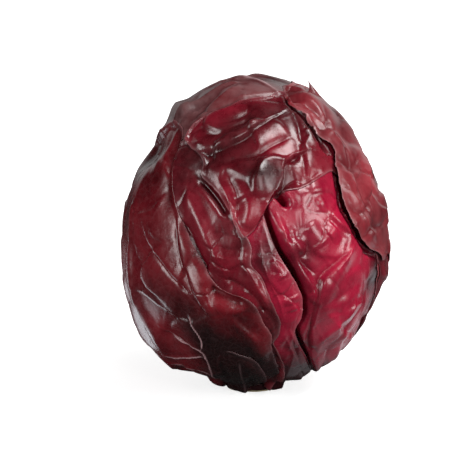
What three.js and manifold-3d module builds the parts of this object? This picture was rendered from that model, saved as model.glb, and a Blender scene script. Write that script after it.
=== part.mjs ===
// A head of red cabbage, as cut and trimmed for sale, standing on the cut end of its stalk.
// Units are millimetres, +Z is up along the stalk, and the origin is the middle of the cut face.
// The side with the long open fold looks along -Y. Each wrapper leaf is a thin waved blade that lies
// on what is under it: a blade's height is worked out from the packed heart outwards, leaf by leaf.
import * as THREE from "three";
import { mergeVertices } from "three/addons/utils/BufferGeometryUtils.js";
import Module from "manifold-3d";

// Driving dimensions of the head
const HEAD_WIDTH = 150;
const HEAD_HEIGHT = 178.5;
const WIDEST_AT = 80; // height of the widest level above the cut face
const LEAF_CLEARANCE = 5; // the lowest leaf stays this far above the cut face

// The packed heart, the stalk and the blades
const HEART_DEPTH = 11.5; // from the head's outer form to the heart's surface
const HEART_LUMP = 0.8;
const BLADE = 1.0; // thickness of a leaf's thin part
const RIB_BLADE = 1.0; // extra thickness where the leaf joins the stalk
const RIB_REACH = 22;
const GAP = 1.35; // air between a blade and what it lies on
const BLEND = 1.6; // how softly a blade comes to rest on what is under it
const DRAPE = 0.55; // slope at which a blade runs down past a covered edge
const LIFT_REACH = 9; // how far in from the edge a lifted margin starts
const RUFFLE_REACH = 13;
const FREE_REACH = 10; // how far from a covering leaf's edge a blade takes up its own folds
const STALK_RADIUS = 15.5;
const STALK_COLLAR = 13; // height at which the stalk enters the heart
const CORE_HEIGHT = 78;
const CORE_CLEARANCE = 0.5;

// How finely the solids are faceted
const HEART_COLUMNS = 30;
const HEART_ROWS = 16;
const RING_SPACING = 17;
const RING_CROWDING = 0.85; // under 1 sets the rings closer together towards the margin
const SECTORS_PER_POINT = 1.5;
const FEWEST_SECTORS = 30;
const OUTLINE_STEPS = 8;
const FOLD_STEPS = 5;

const HALF_WIDTH = HEAD_WIDTH / 2;
const CROWN = HEAD_HEIGHT - WIDEST_AT;
const UNDERSIDE = WIDEST_AT - LEAF_CLEARANCE;
const CENTRE = new THREE.Vector3(0, 0, WIDEST_AT);

const COLOURS = {
  heart: "#6d1230",
  crimson: "#8c1636",
  burgundy: "#571324",
  dusty: "#7c2d3b",
  stalk: "#d9cfa6",
};

// The long open fold on the front: longitude and latitude of its line, in degrees.
const OPEN_FOLD = [
  [5, 29], [7, 20], [11, 8], [17, -4], [20, -13], [19, -24], [25, -36], [40, -49], [60, -60],
];

// The wrapper leaves, from the innermost outwards. Every point is [longitude, latitude] in degrees
// as seen from the middle of the head: longitude 0 is the front, 90 the right, and latitude -90 the
// stalk. level is the blade's height over the head's outer form where it is covered, rise how far it
// swells up where it is not, lift how far its margin stands off, ruffle and waves the height and
// number of the waves round it, root where it joins the stalk. A fold is a line of points with a
// height, sunk where it is negative, and a half-width.
const LEAVES = [
  {
    name: "leaf_crown", colour: "burgundy", level: -9, rise: 8, lift: 1, ruffle: 0.8, waves: 9,
    middle: [-145, 42], root: [-150, -77],
    outline: [
      [-80, 30], [-58, 43], [-36, 53], [-8, 60], [40, 62], [95, 58], [138, 40], [160, 8],
      [172, -35], [-172, -68], [-150, -77], [-130, -68], [-116, -30], [-98, 8],
    ],
    folds: [{ line: [[-84, 56], [-78, 72], [-30, 84]], height: 2.4, width: 7 }],
  },
  {
    name: "leaf_back", colour: "burgundy", level: -7.2, rise: 6, lift: 1.5, ruffle: 1.2, waves: 11,
    middle: [176, 4], root: [176, -77],
    outline: [
      [176, 60], [144, 50], [126, 24], [124, -14], [132, -50], [152, -71], [176, -77],
      [-158, -71], [-130, -50], [-116, -14], [-118, 24], [-146, 52],
    ],
    folds: [
      { line: [[176, -70], [178, -30], [175, 10], [178, 45]], height: 3.5, width: 6 },
      { line: [[178, -40], [150, -5], [135, 25]], height: 2, width: 5 },
      { line: [[178, -40], [-152, -5], [-140, 25]], height: 2, width: 5 },
    ],
  },
  {
    name: "leaf_right", colour: "crimson", level: -6.6, rise: 2.5, lift: 0, ruffle: 0.3, waves: 8,
    middle: [60, 0], root: [88, -77],
    outline: [
      [1, 38], [20, 53], [55, 60], [90, 50], [112, 24], [118, -10], [114, -45], [104, -68],
      [88, -77], [68, -70], [48, -59], [28, -45], [17, -33], [12, -24], [13, -15], [10, -4],
      [4, 8], [1, 20], [-1, 30],
    ],
    folds: [
      { line: OPEN_FOLD, height: -6, width: 5 },
      { line: [[62, -58], [36, -36], [31, -14], [43, 3]], height: 2.6, width: 5 },
      { line: [[70, -60], [56, -34], [58, -12]], height: 2.4, width: 7 },
      { line: [[12, 22], [17, 8], [25, -2]], height: 2.4, width: 4 },
      { line: [[20, 25], [30, 14], [40, 22]], height: 2.2, width: 6 },
    ],
  },
  {
    name: "leaf_strip", colour: "crimson", level: -4.6, rise: 0.5, lift: -1.5, ruffle: 0.4, waves: 10,
    middle: [0, -12], root: [42, -77],
    outline: [
      [-12, 41], [1, 37], [5, 28], [7, 17], [11, 7], [17, -4], [20, -12], [20, -19], [18, -25],
      [22, -34], [35, -48], [55, -61], [64, -72], [42, -77], [18, -74], [-12, -60], [-32, -36],
      [-36, -2], [-28, 28],
    ],
    folds: [
      { line: [[3, 22], [6, 8], [10, -8], [14, -24]], height: 1.8, width: 4 },
      { line: [[42, -70], [24, -52], [14, -36]], height: 2.4, width: 5 },
    ],
  },
  {
    name: "leaf_inner_left", colour: "burgundy", level: -2.7, rise: 0.8, lift: 0.8, ruffle: 0.7,
    waves: 13,
    middle: [-28, 4], root: [14, -77],
    outline: [
      [-9, 28], [-5, 19], [-2, 13], [-2, 6], [2, 1], [5, -6], [8, -13], [11, -20], [11, -26],
      [9, -31], [12, -37], [19, -49], [24, -64], [14, -77], [-16, -74], [-46, -54], [-62, -18],
      [-66, 18], [-60, 44], [-40, 54], [-20, 45],
    ],
    folds: [
      { line: [[-2, 13], [-6, 3], [-4, -8]], height: 2, width: 5 },
      { line: [[-28, 30], [-22, 16], [-12, 4]], height: 2.4, width: 6 },
      { line: [[-20, 30], [-14, 20], [-12, 12]], height: -2, width: 4 },
    ],
  },
  {
    name: "leaf_left", colour: "burgundy", level: -0.6, rise: 0.8, lift: 1.2, ruffle: 0.9, waves: 15,
    middle: [-64, -6], root: [-30, -77],
    outline: [
      [-52, 55], [-48, 44], [-43, 34], [-38, 27], [-30, 16], [-22, 4], [-17, -3], [-12, -6],
      [-5, -8], [0, -12], [3, -19], [7, -26], [8, -33], [12, -44], [18, -55], [6, -72],
      [-30, -77], [-72, -73], [-104, -60], [-126, -36], [-134, -6], [-130, 22], [-114, 42],
      [-90, 53], [-68, 58],
    ],
    folds: [
      { line: [[-30, -72], [-44, -42], [-64, -12], [-82, 22]], height: 3, width: 6 },
      { line: [[-34, -60], [-34, -30], [-42, 4], [-50, 32]], height: 1.8, width: 5 },
      { line: [[-40, -48], [-72, -34], [-100, -12]], height: 2, width: 5 },
      { line: [[-26, -56], [-18, -32], [-12, -14]], height: 1.5, width: 5 },
    ],
  },
  {
    name: "leaf_right_back", colour: "dusty", level: -4, rise: 0.4, lift: 3, ruffle: 0.8, waves: 10,
    middle: [110, 0], root: [116, -77],
    outline: [
      [64, 24], [62, 8], [61, -4], [62, -14], [66, -24], [70, -38], [78, -56], [92, -70],
      [116, -77], [144, -70], [156, -50], [162, -26], [162, 2], [152, 28], [134, 44], [108, 48],
      [82, 40],
    ],
    folds: [
      { line: [[114, -70], [110, -30], [106, 10], [108, 40]], height: 3, width: 6 },
      { line: [[112, -40], [90, -10], [76, 12]], height: 2, width: 5 },
    ],
  },
  {
    name: "leaf_cap", colour: "crimson", level: -1.2, rise: 0.6, lift: -0.6, ruffle: 0.6, waves: 13,
    middle: [50, 62], root: [156, -77],
    outline: [
      [-48, 54], [-39, 48], [-30, 41], [-22, 35], [-15, 29], [-11, 22], [-6, 17], [-2, 20],
      [4, 29], [9, 34], [17, 36], [27, 38], [36, 40], [45, 41], [56, 28], [69, 6], [75, -12],
      [81, -30], [90, -52], [115, -70], [156, -77], [158, -68], [160, -54], [158, -38], [154, -22],
      [148, 2], [138, 30], [122, 52], [96, 68], [48, 75], [14, 74], [-14, 71], [-34, 67], [-45, 61],
    ],
    folds: [
      { line: [[28, 50], [18, 49], [10, 43], [4, 32]], height: 3.6, width: 4 },
      { line: [[26, 43], [16, 40]], height: -4.2, width: 6 },
      { line: [[-44, 54], [-24, 53], [0, 56], [22, 64]], height: 3, width: 5 },
      { line: [[-32, 46], [-14, 47], [2, 50]], height: -3, width: 5 },
      { line: [[-12, 40], [-7, 30], [-6, 21]], height: 2.6, width: 6 },
    ],
  },
  {
    name: "leaf_torn", colour: "dusty", level: 1.2, rise: 0, lift: 2.4, ruffle: 0.8, waves: 17,
    middle: [108, 16], root: [130, -77],
    outline: [
      [56, 78], [41, 70], [44, 64], [42, 56], [46, 49], [45, 40], [43, 30], [46, 21], [55, 12],
      [62, 5], [70, 0], [78, 2], [90, -8], [104, -28], [112, -56], [130, -77], [154, -71],
      [168, -54], [174, -32], [175, -8], [172, 16], [163, 42], [146, 64], [114, 76], [84, 78],
    ],
    folds: [
      { line: [[130, -70], [122, -30], [110, 12], [100, 56]], height: 3.2, width: 6 },
      { line: [[118, -10], [84, 18], [60, 34]], height: 1.8, width: 5 },
      { line: [[112, 8], [80, 46], [58, 60]], height: 1.8, width: 5 },
    ],
  },
  {
    name: "leaf_stub", colour: "burgundy", level: 1.4, rise: 0, lift: 1.2, ruffle: 0.6, waves: 7,
    middle: [-20, -58], root: [-14, -78],
    outline: [
      [-34, -35], [-22, -37], [-11, -38], [-2, -42], [6, -51], [12, -62], [14, -74], [-14, -78],
      [-52, -75], [-62, -64], [-56, -50], [-46, -40],
    ],
    folds: [{ line: [[-18, -74], [-26, -58], [-32, -42]], height: 2.4, width: 5 }],
  },
];

const wasm = await Module();
wasm.setup();

const radians = THREE.MathUtils.degToRad;

// Unit vector from the middle of the head.
function direction([longitude, latitude]) {
  const around = radians(longitude);
  const up = radians(latitude);
  return new THREE.Vector3(
    Math.cos(up) * Math.sin(around), -Math.cos(up) * Math.cos(around), Math.sin(up),
  );
}

// The head's outer form: two half ellipsoids that meet at the widest level.
function formRadius(way) {
  const tall = way.z >= 0 ? CROWN : UNDERSIDE;
  return 1 / Math.hypot(way.x / HALF_WIDTH, way.y / HALF_WIDTH, way.z / tall);
}

// The larger of two heights, rounded where they are close.
function softMax(a, b) {
  const near = Math.max(BLEND - Math.abs(a - b), 0) / BLEND;
  return Math.max(a, b) + (near * near * BLEND) / 4;
}

// A leaf's own chart: distance and bearing from the leaf's middle, laid flat.
class Chart {
  constructor(middle) {
    this.middle = direction(middle);
    this.east = new THREE.Vector3(0, 0, 1).cross(this.middle).normalize();
    this.north = this.middle.clone().cross(this.east);
  }

  flat(way) {
    const reach = this.middle.angleTo(way);
    const across = new THREE.Vector2(way.dot(this.east), way.dot(this.north));
    return across.setLength(reach);
  }

  lift({ x, y }) {
    const reach = Math.hypot(x, y);
    const way = this.middle.clone().multiplyScalar(Math.cos(reach));
    if (reach === 0) return way;
    const share = Math.sin(reach) / reach;
    return way.addScaledVector(this.east, x * share).addScaledVector(this.north, y * share);
  }
}

function closedCurve(points) {
  const flat = points.map(({ x, y }) => new THREE.Vector3(x, y, 0));
  return new THREE.CatmullRomCurve3(flat, true, "centripetal");
}

// Adds to a leaf its chart, its outline on that chart and its folds as chains of directions.
function prepare(leaf) {
  const chart = new Chart(leaf.middle);
  const curve = closedCurve(leaf.outline.map((point) => chart.flat(direction(point))));
  const rim = curve.getPoints(leaf.outline.length * OUTLINE_STEPS).slice(1);
  const folds = leaf.folds.map(({ line, height, width }) => {
    const path = new THREE.CatmullRomCurve3(line.map(direction));
    const chain = path.getPoints(line.length * FOLD_STEPS).map((p) => p.normalize());
    return { chain, height, width };
  });
  return { ...leaf, chart, curve, rim, folds, rootWay: direction(leaf.root) };
}

// Reach of a leaf's outline along a bearing, in radians from its middle.
function rimReach(leaf, bearing) {
  const ray = new THREE.Vector2(Math.cos(bearing), Math.sin(bearing));
  let reach = 0;
  leaf.rim.forEach((a, i) => {
    const b = leaf.rim[(i + 1) % leaf.rim.length];
    const sideA = ray.cross(a);
    const sideB = ray.cross(b);
    if (sideA * sideB > 0 || sideA === sideB) return;
    const share = sideA / (sideA - sideB);
    const along = THREE.MathUtils.lerp(ray.dot(a), ray.dot(b), share);
    reach = Math.max(reach, along);
  });
  return reach;
}

function chainDistance(chain, way) {
  const nearest = new THREE.Vector3();
  const piece = new THREE.Line3();
  return chain.slice(1).reduce((least, end, i) => {
    piece.set(chain[i], end).closestPointToPoint(way, true, nearest);
    return Math.min(least, nearest.distanceTo(way));
  }, Infinity);
}

function foldHeight(folds, way, radius) {
  return folds.reduce((sum, { chain, height, width }) => {
    const off = (chainDistance(chain, way) * radius) / width;
    return sum + height * Math.exp(-off * off);
  }, 0);
}

// Where a direction lies on a leaf: bearing, and distance inside the margin in millimetres.
function placeOn(leaf, way) {
  const spot = leaf.chart.flat(way);
  const bearing = Math.atan2(spot.y, spot.x);
  const inside = (rimReach(leaf, bearing) - spot.length()) * formRadius(way);
  return { bearing, inside };
}

// A blade's height if nothing lay under it. It is flat where another leaf covers it.
function ownRadius(leaf, way, { bearing, inside }, free) {
  const radius = formRadius(way);
  const depth = Math.max(inside, 0);
  const margin = leaf.lift * Math.exp(-depth / LIFT_REACH);
  const ruffle = leaf.ruffle * Math.exp(-depth / RUFFLE_REACH) * Math.sin(leaf.waves * bearing);
  const relief = leaf.rise + margin + ruffle + foldHeight(leaf.folds, way, radius);
  return radius - BLADE + leaf.level + free * relief;
}

function thickness(leaf, way) {
  const fromRoot = leaf.rootWay.angleTo(way) * formRadius(way);
  return BLADE + RIB_BLADE * Math.exp(-fromRoot / RIB_REACH);
}

const openFold = new THREE.CatmullRomCurve3(OPEN_FOLD.map(direction))
  .getPoints(OPEN_FOLD.length * FOLD_STEPS)
  .map((p) => p.normalize());

function heartRadius(way) {
  const radius = formRadius(way) - HEART_DEPTH;
  const trough = foldHeight([{ chain: openFold, height: -4, width: 7 }], way, radius);
  const lumps = HEART_LUMP * Math.sin(5 * way.x + 3 * way.z) * Math.cos(6 * way.y - 2 * way.z);
  return radius + trough + lumps;
}

// Height of a leaf's underside: its own height, or higher where the heart or a leaf below holds it up.
function undersideRadius(leaves, number, way) {
  const places = leaves.map((leaf) => placeOn(leaf, way));
  const holds = [heartRadius(way)];
  let under = 0;
  leaves.slice(0, number + 1).forEach((leaf, n) => {
    const cover = Math.max(...places.slice(n + 1).map(({ inside }) => inside), -HEAD_WIDTH);
    const free = 1 - THREE.MathUtils.smoothstep(cover, -FREE_REACH, 0);
    const own = ownRadius(leaf, way, places[n], free);
    under = holds.reduce((height, hold) => softMax(height, hold + GAP), own);
    holds.push(under + thickness(leaf, way) + DRAPE * Math.min(places[n].inside, 0));
  });
  return under;
}

function solidOf(geometry) {
  geometry.deleteAttribute("normal");
  geometry.deleteAttribute("uv");
  const merged = mergeVertices(geometry, 1e-4);
  return new wasm.Manifold(
    new wasm.Mesh({
      numProp: 3,
      vertProperties: new Float32Array(merged.attributes.position.array),
      triVerts: new Uint32Array(merged.index.array),
    }),
  );
}

function geometryOf(solid) {
  const { vertProperties, triVerts } = solid.getMesh();
  const geometry = new THREE.BufferGeometry();
  geometry.setAttribute("position", new THREE.BufferAttribute(vertProperties, 3));
  geometry.setIndex(new THREE.BufferAttribute(triVerts, 1));
  geometry.computeVertexNormals();
  return geometry;
}

function node(name, geometry, colour, roughness) {
  const material = new THREE.MeshStandardMaterial({ color: COLOURS[colour], roughness, metalness: 0 });
  const mesh = new THREE.Mesh(geometry, material);
  mesh.name = name;
  return mesh;
}

// Profile of the stalk from its cut face to the tip of the core inside the heart.
function stalkProfile(extra) {
  const r = STALK_RADIUS + extra;
  const top = CORE_HEIGHT + extra;
  return [
    [0, -extra], [r - 0.8, -extra], [r, 1.2 - extra], [r - 0.3, 7], [r - 1.5, STALK_COLLAR],
    [r - 3.5, 0.42 * top], [r - 7.5, 0.7 * top], [r - 12, 0.92 * top], [0, top],
  ].map(([across, up]) => new THREE.Vector2(across, up));
}

function stalkGeometry(extra) {
  const sides = 28;
  return new THREE.LatheGeometry(stalkProfile(extra), sides).rotateX(Math.PI / 2);
}

// The packed heart, with the socket that the stalk's core fills.
function heartGeometry() {
  const ball = new THREE.SphereGeometry(1, HEART_COLUMNS, HEART_ROWS).rotateX(Math.PI / 2);
  const at = ball.attributes.position;
  const way = new THREE.Vector3();
  for (let i = 0; i < at.count; i++) {
    way.fromBufferAttribute(at, i).normalize();
    way.multiplyScalar(heartRadius(way)).add(CENTRE);
    at.setXYZ(i, way.x, way.y, way.z);
  }
  return geometryOf(solidOf(ball).subtract(solidOf(stalkGeometry(CORE_CLEARANCE))));
}

// One blade: rings from the leaf's middle out to its margin, on the outer and the inner face alike.
function bladeGeometry(leaves, number) {
  const leaf = leaves[number];
  const sectors = Math.max(Math.round(leaf.outline.length * SECTORS_PER_POINT), FEWEST_SECTORS);
  const reach = Math.max(...leaf.rim.map((spot) => spot.length())) * HALF_WIDTH;
  const rings = Math.ceil(reach / RING_SPACING);
  const points = [];
  const add = (spot) => {
    const way = leaf.chart.lift(spot);
    const under = undersideRadius(leaves, number, way);
    [under + thickness(leaf, way), under].forEach((height) => {
      points.push(way.clone().multiplyScalar(height).add(CENTRE));
    });
  };
  add({ x: 0, y: 0 });
  for (let ring = 1; ring <= rings; ring++) {
    const share = (ring / rings) ** RING_CROWDING;
    for (let i = 0; i < sectors; i++) add(leaf.curve.getPoint(i / sectors).multiplyScalar(share));
  }

  const triangles = [];
  const both = (a, b, c) => triangles.push(2 * a, 2 * b, 2 * c, 2 * a + 1, 2 * c + 1, 2 * b + 1);
  const spotNumber = (ring, i) => 1 + ring * sectors + (i % sectors);
  for (let i = 0; i < sectors; i++) {
    both(0, spotNumber(0, i), spotNumber(0, i + 1));
    for (let ring = 1; ring < rings; ring++) {
      const [a, b] = [spotNumber(ring - 1, i), spotNumber(ring - 1, i + 1)];
      const [c, d] = [spotNumber(ring, i), spotNumber(ring, i + 1)];
      both(a, c, d);
      both(a, d, b);
    }
    const [near, next] = [2 * spotNumber(rings - 1, i), 2 * spotNumber(rings - 1, i + 1)];
    triangles.push(near, near + 1, next + 1, near, next + 1, next);
  }
  const geometry = new THREE.BufferGeometry().setFromPoints(points);
  geometry.setIndex(triangles);
  if (solidOf(geometry.clone()).volume() < 0) {
    for (let i = 0; i < triangles.length; i += 3) {
      [triangles[i + 1], triangles[i + 2]] = [triangles[i + 2], triangles[i + 1]];
    }
    geometry.setIndex(triangles);
  }
  geometry.computeVertexNormals();
  return geometry;
}

const head = new THREE.Group();
const leaves = LEAVES.map(prepare);
head.add(node("stalk", stalkGeometry(0), "stalk", 0.7));
head.add(node("heart", heartGeometry(), "heart", 0.45));
leaves.forEach((leaf, number) => {
  head.add(node(leaf.name, bladeGeometry(leaves, number), leaf.colour, 0.4));
});

export default head;
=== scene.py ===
"""Red cabbage head: the leaves, heart and stalk of one cabbage, and a pale studio stage to see it on."""

import math

import bpy
import numpy as np
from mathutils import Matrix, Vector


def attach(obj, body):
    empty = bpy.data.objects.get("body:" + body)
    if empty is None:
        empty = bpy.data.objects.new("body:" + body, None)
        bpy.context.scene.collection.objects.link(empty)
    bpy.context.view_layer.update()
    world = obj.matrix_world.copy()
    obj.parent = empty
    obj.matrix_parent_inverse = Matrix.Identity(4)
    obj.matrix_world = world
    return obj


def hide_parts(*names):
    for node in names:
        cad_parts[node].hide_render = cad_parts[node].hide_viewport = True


bl_info = {
    "name": "Red cabbage head",
    "version": (1, 0, 0),
    "blender": (4, 5, 0),
    "location": "View3D > Sidebar > Cabbage",
    "description": "Makes a whole red cabbage from lapped wrapper leaves, a heart and a stalk",
    "category": "Add Mesh",
}

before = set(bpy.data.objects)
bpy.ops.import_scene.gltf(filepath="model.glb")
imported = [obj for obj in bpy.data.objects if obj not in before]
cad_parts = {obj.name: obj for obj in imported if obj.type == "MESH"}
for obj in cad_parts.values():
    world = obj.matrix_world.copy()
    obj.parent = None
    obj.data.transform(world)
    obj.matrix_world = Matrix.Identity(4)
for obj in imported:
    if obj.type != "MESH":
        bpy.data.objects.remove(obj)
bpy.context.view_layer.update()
MM = 0.001

# Lengths in the tables and in the leaf code are millimetres, and angles in the tables are degrees.
# MEAN_RADIUS turns an angle at the head's middle into a length on its surface. UNCOVERED is how far
# inside a covering leaf a place is where there is no such leaf.
MEAN_RADIUS = 75.0
UNCOVERED = -150.0

# The wrapper leaves, from the innermost outwards. A point is [longitude, latitude] as seen from the
# middle of the head: longitude 0 is the front, 90 the right, latitude -90 the stalk.
# level, swell: height over the head's outer form, and further rise where no other leaf covers it
# margin, ruffle, waves: how far the margin stands off, and the height and number of the waves round it
# crumple, panels, tilt: strength, number and slope of the blistered panels between small veins
# veins: strength of the midrib and the side veins, which fan out from the root
# brighter or darker patches: (longitude, latitude, reach, amount) of each; some are the leaf's own tone,
# others are painted shade that darkens the bottom and the sides, or painted light that brightens lit parts
# flush: (longitude, latitude, reach) of a stretch of margin pressed down on the leaf under it
# folds: (profile, height, half-width, line of points), with the profiles that FoldLine knows
# ribs: (height, half-width, line of points) of pale veins beside those that fan out
# sliver: a spur torn up from the margin between two points, and how far its tip rises
OPEN_FOLD = [
    [3, 31], [4.2, 27], [6, 22], [8, 17], [11, 10.5], [14.5, 4], [18.8, -4.5], [21.5, -12.5],
    [21.5, -19], [19.5, -25], [23.5, -34], [36, -47.5], [57, -61],
]
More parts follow.
